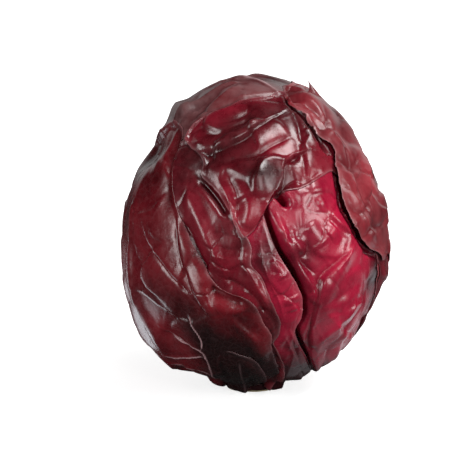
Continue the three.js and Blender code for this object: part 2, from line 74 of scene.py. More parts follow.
LEAVES = {
    "leaf_crown": {
        "finish": "weathered", "crumple": 1.2, "veins": 0.6,
        "level": -9, "swell": 8, "margin": -1.0, "ruffle": 0.5, "waves": 9,
        "middle": [-145, 42], "root": [-150, -77],
        "outline": [
            [-80, 30], [-58, 43], [-36, 53], [-8, 60], [40, 62], [95, 58], [138, 40], [160, 8],
            [172, -35], [-172, -68], [-150, -77], [-130, -68], [-116, -30], [-98, 8],
        ],
        "tone_and_shade_patches": [(-15, 70, 14, 0.4), (-60, 62, 16, -0.35)],
        "folds": [
            ("ridge", 2.4, 3.0, [[-68, 56], [-68, 62], [-64, 68], [-61, 74], [-50, 82]]),
            ("ridge", -2.2, 2.2, [[-51, 60], [-50, 65], [-50, 70], [-53, 75]]),
            ("ridge", -1.8, 2.4, [[-60, 61], [-57, 68], [-56, 74], [-40, 82]]),
            ("ridge", 1.6, 2.4, [[-46, 66], [-40, 72], [-30, 78]]),
            ("round", 3.2, 6.0, [[-112, 58], [-92, 62], [-74, 63], [-60, 61]]),
            ("round", -2.0, 0.9, [[-46, 61], [-34.5, 67.2], [-14, 71.2], [14, 74.2], [34, 73.6]]),
        ],
    },
    "leaf_back": {
        "finish": "burgundy", "crumple": 1.2, "veins": 1.0,
        "level": -7.2, "swell": 6, "margin": 0.5, "ruffle": 1.0, "waves": 11,
        "middle": [176, 4], "root": [176, -77],
        "outline": [
            [176, 60], [144, 50], [126, 24], [124, -14], [132, -50], [152, -71], [176, -77],
            [-158, -71], [-130, -50], [-116, -14], [-118, 24], [-146, 52],
        ],
    },
    "leaf_right": {
        "finish": "crimson", "crumple": 0.8, "panels": 260, "tilt": 0.11, "veins": 0.3,
        "level": -6.6, "swell": 4.2, "margin": 0, "ruffle": 0.3, "waves": 8,
        "middle": [60, 0], "root": [88, -77],
        "outline": [
            [1, 38], [20, 53], [55, 60], [90, 50], [112, 24], [118, -10], [114, -45], [104, -68],
            [88, -77], [68, -70], [48, -59], [28, -45], [17, -33], [12, -24], [13, -15], [10, -4],
            [4, 8], [1, 20], [-1, 30],
        ],
        # The dark patches at the bottom and on the right side are painted shade, and the brighter patch low
        # down is painted light.
        "tone_and_shade_patches": [
            (42, 32, 12, 0.3), (20, 24, 10, -0.2), (55, -8, 14, 0.35), (44, -34, 14, 0.15),
            (70, -4, 9, -0.6), (46, -64, 16, -0.9),
        ],
        "folds": [
            ("round", -9.5, 1.7, OPEN_FOLD),
            ("round", -12.0, 1.7, [[8, 36], [11.5, 33.6], [14.5, 30.4]]),
            ("round", -10.0, 1.5, [
                [47, 43], [45, 36], [44.6, 30], [44.6, 25], [46.5, 19.4], [50.5, 13.4], [57.4, 7],
                [65.4, 2.6],
            ]),
            ("round", 1.8, 2.6, [
                [8.6, 28], [10.6, 22.5], [13, 16.5], [16.5, 8.5], [20, 2], [24.5, -5], [26.5, -12],
                [26, -19], [25, -27],
            ]),
            ("ridge", 1.6, 2.0, [[12, 21], [13, 15], [15, 9]]),
            ("ridge", 1.4, 1.8, [[16, 20], [17, 15], [20, 10]]),
            ("ridge", -1.3, 1.6, [[23, 16], [22, 10], [19, 8], [22, 4], [26, 1]]),
            ("ledge", 1.8, 6.0, [
                [32, -38], [28, -28], [27, -20], [28, -10], [29.5, -2], [35, 2], [41, 6], [47, 11],
            ]),
            ("ridge", -1.2, 1.4, [
                [31, -38], [27, -28], [26, -20], [27, -10], [28.6, -1.4], [34.4, 2.8], [41, 7],
            ]),
            ("round", 1.6, 5.0, [[47, 14], [42, 6], [37, 0], [33, -6], [32, -14], [33, -24]]),
            ("ridge", 1.7, 3.0, [[51, -12], [44, -22], [38, -28], [35, -35], [42, -48], [60, -62]]),
            ("ridge", -1.5, 2.5, [[63, -8], [58, -20], [50, -28], [45, -38], [56, -56]]),
            ("round", 2.6, 12.0, [[42, -10], [46, -22], [52, -36]]),
            ("round", 5.0, 16.0, [[26, -60], [44, -52], [64, -46]]),
            ("round", 1.2, 6.0, [[19, 32], [27, 34], [35, 35]]),
            ("round", 1.3, 3.5, [[30, 28.5], [33.5, 30]]),
            ("round", 2.0, 4.2, [[33, 16], [37.5, 19]]),
            ("round", 1.6, 5.0, [[24, 22], [30, 12]]),
        ],
    },
    "leaf_strip": {
        "finish": "crimson", "crumple": 0.7, "panels": 260, "veins": 0.2,
        "level": -4.6, "swell": 2.8, "margin": 0, "ruffle": 0.3, "waves": 10,
        "middle": [0, -12], "root": [42, -77],
        "outline": [
            [-12, 41], [1, 37], [3, 28], [5, 21.5], [7, 16], [10, 9.5], [13.8, 3], [18, -4], [21, -12],
            [21, -19], [19, -25], [23.4, -34], [37, -48], [57, -61], [64, -72], [42, -77], [18, -74],
            [-12, -60], [-32, -36], [-36, -2], [-28, 28],
        ],
        # The two darkest patches, low down, are painted shade at the bottom.
        "tone_and_shade_patches": [(4, 10, 9, -0.25), (16, -15, 10, 0.1), (30, -58, 16, -0.7), (20, -75, 14, -1.2)],
        "folds": [
            ("ridge", 0.9, 1.4, [[2, 15], [3, 7], [6, -2], [10, -10], [13, -20]]),
            ("round", 1.5, 4.0, [[8, 9], [12, 0]]),
            ("round", 1.3, 4.0, [[15, -8], [17, -15]]),
            ("ridge", 1.1, 2.0, [[15, -29], [22, -40], [38, -55], [48, -66]]),
            ("ridge", -1.3, 2.0, [[19, -32], [28, -46], [44, -60]]),
            ("ridge", -0.4, 1.4, [[7, 3], [13, 2]]),
            ("ridge", -0.4, 1.4, [[12, -13], [19, -11]]),
            ("round", 6.0, 6.0, [[10, -75], [26, -74], [44, -71]]),
            ("round", 4.0, 12.0, [[14, -58], [30, -58], [48, -62]]),
        ],
    },
    "leaf_inner_left": {
        "finish": "crimson_dark", "crumple": 0.8, "panels": 220, "tilt": 0.1, "veins": 0.2,
        "level": -2.7, "swell": 0.8, "margin": -0.6, "ruffle": 0.3, "waves": 13,
        "middle": [-28, 4], "root": [14, -77],
        "outline": [
            [-9, 28], [-5, 19], [-2, 13], [-2, 6], [2, 1], [5, -6], [8, -13], [11, -20], [11, -26],
            [9, -31], [12, -37], [19, -49], [24, -64], [14, -77], [-16, -74], [-46, -54], [-62, -18],
            [-66, 18], [-60, 44], [-40, 54], [-20, 45],
        ],
        # The dark patch low down is painted shade towards the bottom.
        "tone_and_shade_patches": [
            (-38, 38, 18, -0.4), (-20, 18, 12, -0.2), (-10, 5, 9, 0.2), (-4, -14, 9, 0.1),
            (5, -45, 16, -0.3),
        ],
        "folds": [
            ("ridge", -2.2, 2.2, [[-34, 22], [-30, 18], [-27, 13], [-24, 8], [-20, 2]]),
            ("round", 1.9, 4.0, [[-35, 35], [-29, 27], [-24, 20], [-20, 12], [-15, 5]]),
            ("round", -4.0, 2.4, [[-30, 40], [-23, 36], [-17, 31], [-13, 26]]),
            ("ridge", 0.5, 2.0, [[-18, 9], [-12, 8], [-6, 8]]),
            ("ridge", -0.5, 1.4, [[-16, 13], [-10, 12], [-5, 13]]),
            ("round", 1.7, 3.0, [[-4, 14], [-4, 7], [-1, 0], [3, -7], [6, -13]]),
            ("ridge", -1.5, 2.0, [[-14, 0], [-6, -3], [1, -9], [5, -18]]),
            ("ridge", 0.9, 1.6, [[2, -14], [7, -20], [9, -27]]),
        ],
    },
    "leaf_left": {
        "finish": "burgundy", "crumple": 0.75, "panels": 150, "tilt": 0.1, "veins": 0.25,
        "level": -0.9, "swell": 0.8, "margin": -1.8, "ruffle": 0.3, "waves": 15,
        "middle": [-64, -6], "root": [-30, -77],
        "outline": [
            [-52, 55], [-48, 44], [-43, 34], [-38, 27], [-30, 16], [-22, 4], [-17, -3], [-12, -6],
            [-5, -8], [0, -12], [3, -19], [7, -26], [8, -33], [12, -44], [18, -55], [6, -72],
            [-30, -77], [-72, -73], [-104, -60], [-126, -36], [-134, -6], [-130, 22], [-114, 42],
            [-90, 53], [-68, 58],
        ],
        # The dark patches low down are painted shade at the bottom.
        "tone_and_shade_patches": [
            (-48, 36, 14, -0.1), (-52, 12, 12, 0.15), (-24, -22, 12, -0.2), (-26, -2, 10, 0.25),
            (-8, -13, 9, 0.3), (-16, -38, 16, -0.55), (4, -60, 20, -0.9),
        ],
        "flush": [(-44, 40, 20)],
        "folds": [
            ("round", -7.0, 13.0, [[-104, 43], [-80, 46], [-60, 49]]),
            ("round", 2.2, 5.0, [
                [-62, 44], [-66, 30], [-67, 17], [-67, 5], [-66, -3], [-64, -12], [-61, -21],
                [-57, -29], [-53, -37], [-49, -45], [-42, -56],
            ]),
            ("ledge", 0.6, 6.0, [
                [-36, -22], [-40, -19], [-47, -16], [-54, -12], [-62, -11], [-70, -10],
            ]),
            ("slope", 1.9, 5.0, [
                [-20, -18], [-22, -15], [-24, -12], [-28, -4], [-32, 5], [-35, 14], [-37, 24],
            ]),
            ("slope", 0.4, 6.0, [
                [-22, -14], [-26, -10], [-31, -5], [-37, -1], [-43, 4], [-52, 10], [-58, 18],
            ]),
            ("ridge", -0.7, 1.1, [
                [-23, -14.4], [-27, -10.4], [-32, -5.4], [-38, -1.4], [-44, 3.6], [-53, 9.6],
            ]),
            ("ridge", -1.2, 1.2, [
                [-37, 20], [-34.6, 13], [-31.6, 4.6], [-27.6, -4.4], [-23.6, -12.4], [-18, -20],
            ]),
            ("round", -1.5, 3.0, [[-20, -4], [-12, -8], [-5, -11]]),
            ("round", 2.0, 4.5, [[-22, -12], [-12, -14], [-3, -17]]),
            ("ridge", -1.3, 2.4, [[-10, -22], [-4, -32], [0, -44]]),
            ("ridge", 1.2, 2.4, [[-2, -24], [2, -34], [6, -46]]),
            ("ridge", -1.4, 2.2, [[-50, -30], [-40, -32], [-33, -38], [-28, -48]]),
            ("ridge", -1.2, 2.2, [[-22, -22], [-23, -32], [-24, -44]]),
            ("round", 5.0, 6.0, [[-70, -71], [-44, -74]]),
            ("round", 5.5, 22.0, [[-100, -34], [-78, -42], [-54, -50]]),
        ],
        "ribs": [
            (0.9, 0.8, [
                [-50, -27], [-41, -33], [-34, -35], [-29, -37], [-28, -41], [-29, -49], [-33, -58],
                [-36, -68],
            ]),
            (0.8, 0.7, [[-31, -18], [-30, -22], [-28, -26], [-27, -31], [-29, -37]]),
            (0.8, 0.7, [[-60, -42], [-46, -42], [-36, -41], [-28, -41]]),
            (0.7, 0.8, [[-62, -48], [-52, -50], [-44, -50], [-37, -54], [-34, -60]]),
        ],
    },
    "leaf_right_back": {
        "finish": "dusty", "crumple": 0.6, "veins": 0.6,
        "level": -4, "swell": 1.5, "margin": 0.5, "ruffle": 0.5, "waves": 10,
        "middle": [110, 0], "root": [116, -77],
        "outline": [
            [64, 24], [65, 10], [68, -1], [71, -9], [74, -16], [80, -26], [86, -40], [92, -58],
            [100, -70], [116, -77], [144, -70], [156, -50], [162, -26], [162, 2], [152, 28], [134, 44],
            [108, 48], [82, 40],
        ],
    },
    "leaf_cap": {
        "finish": "crimson_dark", "crumple": 1.0, "panels": 240, "tilt": 0.11, "veins": 0.2,
        "level": -1.2, "swell": 0.6, "margin": -1.4, "ruffle": 0.3, "waves": 13,
        "middle": [50, 62], "root": [156, -77],
        "outline": [
            [-48, 54], [-40, 50.5], [-33, 48.5], [-28.5, 45], [-28.5, 41], [-24, 38.5], [-20, 36],
            [-14.5, 31], [-11, 26], [-9, 22], [-5.5, 17], [-1, 20], [3, 26], [6, 30.5], [10, 34],
            [16, 35.5], [22, 36], [28, 37.5], [36, 40], [45, 41], [56, 28], [69, 6], [75, -12],
            [81, -30], [90, -52], [115, -70], [156, -77], [158, -68], [160, -54], [158, -38],
            [154, -22], [148, 2], [138, 30], [122, 52], [96, 68], [48, 75], [14, 74], [-14, 71],
            [-34, 67], [-45, 61],
        ],
        "tone_and_shade_patches": [
            (-32, 55, 12, -0.25), (-12, 61, 10, -0.1), (-6, 52, 9, -0.2), (-20, 44, 10, -0.3),
            (4, 45, 8, -0.25), (-8, 28, 8, 0.35), (12, 52, 8, 0.3), (24, 42, 9, 0.15),
        ],
        "folds": [
            ("ledge", -4.5, 9.0, [
                [3, 25], [8, 33], [12, 37], [14, 41], [15, 45], [18, 47], [23, 49], [29, 49.5],
            ]),
            ("ridge", 1.2, 1.6, [
                [28, 49.5], [23, 49], [18, 47], [15, 45], [14, 41], [12, 37], [8, 33], [2, 24],
            ]),
            ("ridge", -1.3, 1.4, [[33, 68], [31, 59], [28, 50], [26, 39]]),
            ("ledge", -3.4, 7.0, [
                [-42, 49.5], [-33, 49.5], [-24, 51], [-13, 54], [-5, 57], [4, 61], [14, 64],
            ]),
            ("round", 1.4, 3.0, [
                [-46, 51.5], [-32, 52], [-24, 53.5], [-14, 56.5], [-6, 59.5], [3, 64],
            ]),
            ("ridge", -1.4, 2.0, [[-40, 55], [-26, 57.5], [-12, 61], [0, 65]]),
            ("round", 1.8, 4.5, [[-26, 44], [-16, 42]]),
            ("round", 1.1, 5.0, [[-14, 48], [-4, 45], [3, 39], [3, 31]]),
            ("ridge", -1.6, 2.0, [[-22, 44], [-12, 47], [0, 49], [10, 53], [24, 56]]),
            ("ridge", -1.5, 2.0, [[-14, 41], [-9, 34], [-8, 26]]),
            ("round", 1.8, 4.0, [[-3, 33], [-3, 27], [-5, 21]]),
            ("ridge", -1.2, 1.8, [[-30, 60], [-16, 63], [0, 68]]),
            ("round", -6.0, 1.3, [
                [42, 75], [34, 69], [38, 65], [39.5, 60], [39.5, 57], [41.5, 52], [46, 48],
            ]),
            ("round", 1.4, 4.0, [[36, 58], [38, 50]]),
        ],
    },
    "leaf_torn": {
        "finish": "dusty", "crumple": 1.35, "panels": 300, "tilt": 0.08, "veins": 0.4,
        "level": 0.8, "swell": 0, "margin": 0.3, "ruffle": 0.5, "waves": 17,
        "middle": [108, 16], "root": [130, -77],
        "outline": [
            [58, 79], [44, 75], [36, 69], [40, 65], [41, 60], [41, 57], [43, 52], [48, 48.5],
            [46.5, 45], [45, 41], [44, 34], [44, 27], [46, 21], [50, 14], [57, 8], [65, 4], [73, -1],
            [80, 1], [90, -8], [104, -28], [112, -56], [130, -77], [154, -71], [168, -54], [174, -32],
            [175, -8], [172, 16], [163, 42], [146, 64], [114, 76], [84, 78],
        ],
        "tone_and_shade_patches": [(76, 56, 14, -0.25), (84, 20, 12, -0.15), (52, 52, 10, 0.1)],
        "flush": [(44, 74, 9)],
        "folds": [
            ("round", -4.5, 9.0, [[40, 70], [52, 77], [80, 77]]),
            ("round", -3.6, 12.0, [[88, 46], [90, 36], [92, 27]]),
            ("ridge", -1.3, 1.8, [[50, 70], [54, 60], [58, 50], [57, 40]]),
            ("ridge", -1.2, 1.8, [[57, 44], [56, 32], [60, 22], [66, 14]]),
            ("round", 1.6, 4.0, [[50, 62], [53, 52]]),
            ("round", 2.4, 6.0, [[78, 26], [82, 12]]),
            ("round", 1.4, 4.0, [[52, 36], [54, 26]]),
            ("ridge", -1.6, 2.0, [[47, 46], [52, 42], [58, 40], [70, 44]]),
            ("ridge", -1.5, 2.0, [[44, 58], [50, 56], [57, 58], [66, 64]]),
            ("ridge", -1.4, 1.8, [[46, 26], [52, 22], [60, 24], [70, 30]]),
            ("ridge", -1.4, 1.8, [[54, 12], [60, 16], [68, 14], [78, 16]]),
            ("ridge", 1.4, 1.8, [[46, 36], [50, 30], [56, 18], [64, 9]]),
            ("ridge", 1.2, 1.6, [[44, 66], [50, 60], [54, 52], [60, 46]]),
        ],
        "sliver": {"from": [84, 71.5], "to": [84, 64.5], "rise": [-5.0, 1.6, 10.5]},
    },
    "leaf_stub": {
        "finish": "burgundy", "crumple": 0.7, "veins": 0.3,
        "level": 0, "swell": 0, "margin": -1.8, "ruffle": 0.2, "waves": 7,
        "middle": [-10, -60], "root": [-14, -78],
        "outline": [
            [-18, -38], [-13, -36], [-8, -38], [-1, -42], [4, -49], [9, -58], [14, -74], [-14, -78],
            [-40, -76], [-36, -66], [-27, -58], [-24, -50], [-22, -43],
        ],
        # This dark patch is painted shade under the head.
        "tone_and_shade_patches": [(-10, -60, 22, -0.9)],
        "flush": [(-26, -50, 11), (-20, -40, 8)],
        "folds": [
            ("round", 6.0, 7.0, [[-40, -72], [-26, -74], [-8, -76]]),
            ("ridge", 1.0, 2.0, [[-14, -72], [-16, -58], [-16, -44]]),
            ("ridge", -1.0, 2.0, [[-2, -68], [-4, -54], [-8, -44]]),
        ],
    },
}
# Stubs of cut leaf stems round the stalk: direction, half-width, how far the stub stands out of the
# stalk and how high over the table it was cut. STUB_FLARE is the height where a stub stands out most, and
# between the heights in STUB_TOP it dies away into the stalk.
STEM_STUBS = [
    (-136, 40, 6.4, 0.3), (-66, 36, 4.4, 1.4), (0, 34, 5.6, 0.6), (62, 30, 5.0, 1.8), (120, 30, 5.8, 0.8),
    (172, 26, 5.2, 2.2),
]
STUB_FLARE = 5.5
STUB_TOP = (5.4, 7.2)
STALK_SIDES = 144
STALK_TOP = 78.0
STALK_SEED = 7

# The heart: columns and rows of its mesh, and the hole that the stalk's core goes up through, as the
# hole's radius and its distance from the head's middle.
HEART_COLUMNS = 200
HEART_ROWS = 110
HEART_HOLE = (16.2, 63.0)
HEART_SEED = 11

# Blade meshes: width of the rounded lip, width of the pale rim, a painted highlight along the bare margin,
# how much closer the columns stand where the margin is bare, and the power that draws the rows towards the
# margin.
LIP_WIDTH = 0.35
RIM_HIGHLIGHT_WIDTH = 0.9
BARE_CROWDING = 2
ROW_POWER = 0.8

# The stage, in metres. Softboxes: name, azimuth, elevation, distance, size and power. Table glows, low
# panels that stand for light thrown back by the table: name, place, turn, length, width and power.
FLOOR_HALF_SIDE = 4.0
FLOOR_DROP = 1e-4
LIGHT_AIM = (0, 0, 0.085)
SOFTBOXES = [
    ("softbox_top", 54, 54, 0.9, 0.36, 7.0),
    ("softbox_key", 58, 12, 1.0, 0.36, 4.8),
    ("softbox_left", -52, 12, 1.0, 0.42, 5.4),
    ("softbox_front", 16, 18, 1.2, 0.34, 3.2),
    ("rim_left", -150, 20, 1.2, 0.80, 1.2),
    ("rim_right", 150, 25, 1.2, 1.00, 3.0),
]
TABLE_GLOWS = [
    ("table_glow_left", (-0.24, 0.155), 130, 0.44, 0.07, 0.28),
    ("table_glow_right", (0.17, 0.07), 25, 0.24, 0.07, 0.05),
    ("table_glow_low", (0.10, -0.02), 40, 0.14, 0.08, 0.013),
]
GLOW_COLOUR = (0.90, 0.94, 1.0)
GLOW_HEIGHT = 0.001

# The camera: its tilt and distance, the photograph's width and the head's width there in pixels, and
# where the photograph's middle lies from the head's middle, right and up, in pixels.
CAMERA_TILT = 12
CAMERA_DISTANCE = 1.3
SENSOR_WIDTH = 36
PHOTO_PIXELS = 452
HEAD_PIXELS = 266
AIM_PIXELS = (-28, 23)


class HeadSizes(bpy.types.PropertyGroup):
    """Sizes of the head, its leaves and its stalk."""

    width: bpy.props.FloatProperty(
        name="Width", description="Width of the head at its widest level", default=0.150, unit="LENGTH")
    height: bpy.props.FloatProperty(
        name="Height", description="Height of the head over the stalk's cut face", default=0.1785,
        unit="LENGTH")
    widest_at: bpy.props.FloatProperty(
        name="Widest level", description="Height of the head's widest level", default=0.080, unit="LENGTH")
    underside: bpy.props.FloatProperty(
        name="Underside", description="Height of the lowest leaf form over the cut face", default=0.005,
        unit="LENGTH")
    blade: bpy.props.FloatProperty(
        name="Blade", description="Thickness of a leaf's thin part", default=0.0010, unit="LENGTH")
    rib: bpy.props.FloatProperty(
        name="Rib", description="Extra thickness of a leaf at its root", default=0.0010, unit="LENGTH")
    gap: bpy.props.FloatProperty(
        name="Gap", description="Air between a blade and what it lies on", default=0.0003, unit="LENGTH")
    heart_depth: bpy.props.FloatProperty(
        name="Heart depth", description="Depth of the packed heart under the head's form", default=0.0115,
        unit="LENGTH")
    stalk: bpy.props.FloatProperty(
        name="Stalk radius", description="Radius of the stalk at its cut end", default=0.0135, unit="LENGTH")
    sectors: bpy.props.IntProperty(
        name="Sectors", description="Columns of faces round a leaf", default=400, min=60)
    rings: bpy.props.IntProperty(
        name="Rings", description="Rows of faces from a leaf's middle to its margin", default=100, min=20)


class HeadColours(bpy.types.PropertyGroup):
    """Colours of the leaves, the veins and the stalk."""

    crimson: bpy.props.FloatVectorProperty(
        name="Crimson", description="Bright inner leaves", subtype="COLOR", default=(0.225, 0.003, 0.020))
    burgundy: bpy.props.FloatVectorProperty(
        name="Burgundy", description="Dark outer leaves", subtype="COLOR", default=(0.105, 0.003, 0.007))
    dusty: bpy.props.FloatVectorProperty(
        name="Dusty rose", description="Weathered outer leaves", subtype="COLOR",
        default=(0.20, 0.012, 0.020))
    # The vein colour is also the colour of the painted highlight along bare leaf rims.
    vein: bpy.props.FloatVectorProperty(
        name="Veins", description="Pale veins and leaf rims", subtype="COLOR", default=(0.62, 0.38, 0.40))
    bloom: bpy.props.FloatVectorProperty(
        name="Wax bloom", description="Grey wax on the leaves", subtype="COLOR", default=(0.24, 0.14, 0.14))
    stalk: bpy.props.FloatVectorProperty(
        name="Stalk", description="Flesh of the cut stalk", subtype="COLOR", default=(0.72, 0.62, 0.38))
    floor: bpy.props.FloatVectorProperty(
        name="Floor", description="Studio floor", subtype="COLOR", default=(0.80, 0.80, 0.80))


class CabbageSettings(bpy.types.PropertyGroup):
    """Everything that a user would change on the cabbage."""

    sizes: bpy.props.PointerProperty(type=HeadSizes)
    colours: bpy.props.PointerProperty(type=HeadColours)


# Directions, noise and fold lines


def directions(points):
    """Unit vectors from the middle of the head for points in degrees."""
    lon, lat = np.radians(np.asarray(points, float)).reshape(-1, 2).T
    return np.stack([np.cos(lat) * np.sin(lon), -np.cos(lat) * np.cos(lon), np.sin(lat)], -1)


def degrees_from(way, lon, lat):
    """Angle between each direction and one point, in degrees."""
    return np.degrees(np.arccos(np.clip(way @ directions([lon, lat])[0], -1, 1)))


def warped(way, noise, amount, scale, shift):
    """Directions pushed about by smooth noise."""
    return way + amount * np.stack([noise(way * scale + k * shift) for k in range(3)], -1)


def smoothstep(value, low, high):
    """Eased share of the way from low to high, from 0 to 1."""
    share = np.clip((value - low) / (high - low), 0, 1)
    return share * share * (3 - 2 * share)


def soft_max(a, b, blend):
    """The larger of two heights, rounded where they are close."""
    near = np.maximum(blend - np.abs(a - b), 0) / blend
    return np.maximum(a, b) + near * near * blend / 4


class GrainNoise:
    """Smooth seeded noise over points in space, about -1 to 1."""

    def __init__(self, seed):
        chance = np.random.default_rng(seed)
        self.shuffle = np.tile(chance.permutation(256), 3)
        slopes = chance.normal(size=(256, 3))
        self.slopes = slopes / np.linalg.norm(slopes, axis=1, keepdims=True)

    def __call__(self, points):
        cell = np.floor(points).astype(int)
        part = points - cell
        cell &= 255
        fade = part**3 * (part * (part * 6 - 15) + 10)
        total = np.zeros(len(points))
        for corner in np.ndindex(2, 2, 2):
            x, y, z = (cell + corner).T
            slope = self.slopes[self.shuffle[self.shuffle[self.shuffle[x] + y] + z]]
            weight = np.prod(np.where(corner, fade, 1 - fade), axis=1)
            total += weight * np.sum(slope * (part - corner), axis=1)
        return total * 1.5


def curve_through(points, steps, closed=False):
    """Centripetal curve through points, with a number of steps for each span."""
    points = np.asarray(points, float)
    count = len(points)
    spans = count if closed else count - 1
    share = np.linspace(0, 1, steps, endpoint=False)[:, None]
    pieces = []
    for i in range(spans):
        if closed:
            p = [points[(i + k - 1) % count] for k in range(4)]
        else:
            before = points[i - 1] if i else 2 * points[0] - points[1]
            after = points[i + 2] if i + 2 < count else 2 * points[-1] - points[-2]
            p = [before, points[i], points[i + 1], after]
        gaps = [max(np.linalg.norm(p[k + 1] - p[k]) ** 0.5, 1e-4) for k in range(3)]
        start = (p[1] - p[0]) / gaps[0] - (p[2] - p[0]) / (gaps[0] + gaps[1]) + (p[2] - p[1]) / gaps[1]
        end = (p[2] - p[1]) / gaps[1] - (p[3] - p[1]) / (gaps[1] + gaps[2]) + (p[3] - p[2]) / gaps[2]
        start, end = start * gaps[1], end * gaps[1]
        bend = 2 * p[1] - 2 * p[2] + start + end
        turn = -3 * p[1] + 3 * p[2] - 2 * start - end
        pieces.append(p[1] + share * (start + share * (turn + share * bend)))
    if not closed:
        pieces.append(points[-1:])
    return np.concatenate(pieces)


class FoldLine:
    """A fold, crease or rib along a line of directions.

    A round profile is soft and a ridge is sharp. A ledge and a slope are steps that fall away on the
    right of the line, one along a curve and one evenly.
    """

    steps = 5
    reach_in_widths = 4.5
    least_radius = 60.0
    ridge_rounding = 0.2
    step_width = 0.9
    end_share = 0.25

    def __init__(self, profile, height, width, points):
        chain = curve_through(directions(points), self.steps)
        self.chain = chain / np.linalg.norm(chain, axis=1, keepdims=True)
        self.profile, self.height, self.width = profile, height, width
        axis = self.chain.mean(axis=0)
        self.axis = axis / np.linalg.norm(axis)
        spread = np.arccos(np.clip(self.chain @ self.axis, -1, 1)).max()
        reach = spread + self.reach_in_widths * width / self.least_radius
        self.least_dot = math.cos(min(reach, math.pi))

    def apply(self, way, radius):
        """Share of the fold's full height at each direction, from 0 to 1."""
        shares = np.zeros(len(way))
        near = np.nonzero(way @ self.axis > self.least_dot)[0]
        if len(near) == 0:
            return shares
        spot = way[near]
        least = np.full(len(near), np.inf)
        along, side = np.zeros(len(near)), np.zeros(len(near))
        last = len(self.chain) - 1
        for i in range(last):
            start, run = self.chain[i], self.chain[i + 1] - self.chain[i]
            share = np.clip((spot - start) @ run / (run @ run), 0, 1)
            off = np.linalg.norm(spot - start - share[:, None] * run, axis=1)
            closer = off < least
            least = np.where(closer, off, least)
            turn = np.sign(np.sum(np.cross(spot - start, run) * spot, axis=1))
            side = np.where(closer, turn, side)
            along = np.where(closer, (i + share) / last, along)
        off = least * radius[near] / self.width
        if self.profile == "round":
            height = np.exp(-off * off)
        elif self.profile == "ridge":
            height = np.exp(self.ridge_rounding - np.sqrt(off * off + self.ridge_rounding**2))
        else:
            edge = smoothstep(side * least * radius[near], -self.step_width, self.step_width)
            far = np.where(side > 0, off, 0)
            height = edge * (np.exp(-far) if self.profile == "ledge" else np.maximum(1 - far / 2, 0))
        ends = smoothstep(np.minimum(along, 1 - along), -0.04, 0.16)
        shares[near] = height * (self.end_share + (1 - self.end_share) * ends)
        return shares


# The leaves and the head that they make up


class LeafChart:
    """A leaf's own map: distance and bearing from its middle, laid flat."""

    def __init__(self, middle):
        self.middle = directions(middle)[0]
        east = np.cross([0, 0, 1], self.middle)
        self.east = east / np.linalg.norm(east)
        self.north = np.cross(self.middle, self.east)

    def flat(self, way):
        """Directions laid flat on the chart."""
        reach = np.arccos(np.clip(way @ self.middle, -1, 1))
        across = np.stack([way @ self.east, way @ self.north], -1)
        size = np.linalg.norm(across, axis=1, keepdims=True)
        return across * (reach[:, None] / np.maximum(size, 1e-12))

    def lift(self, spots):
        """Flat spots turned back into directions."""
        reach = np.linalg.norm(spots, axis=1, keepdims=True)
        share = np.sinc(reach / np.pi)
        return np.cos(reach) * self.middle + share * (spots[:, :1] * self.east + spots[:, 1:] * self.north)


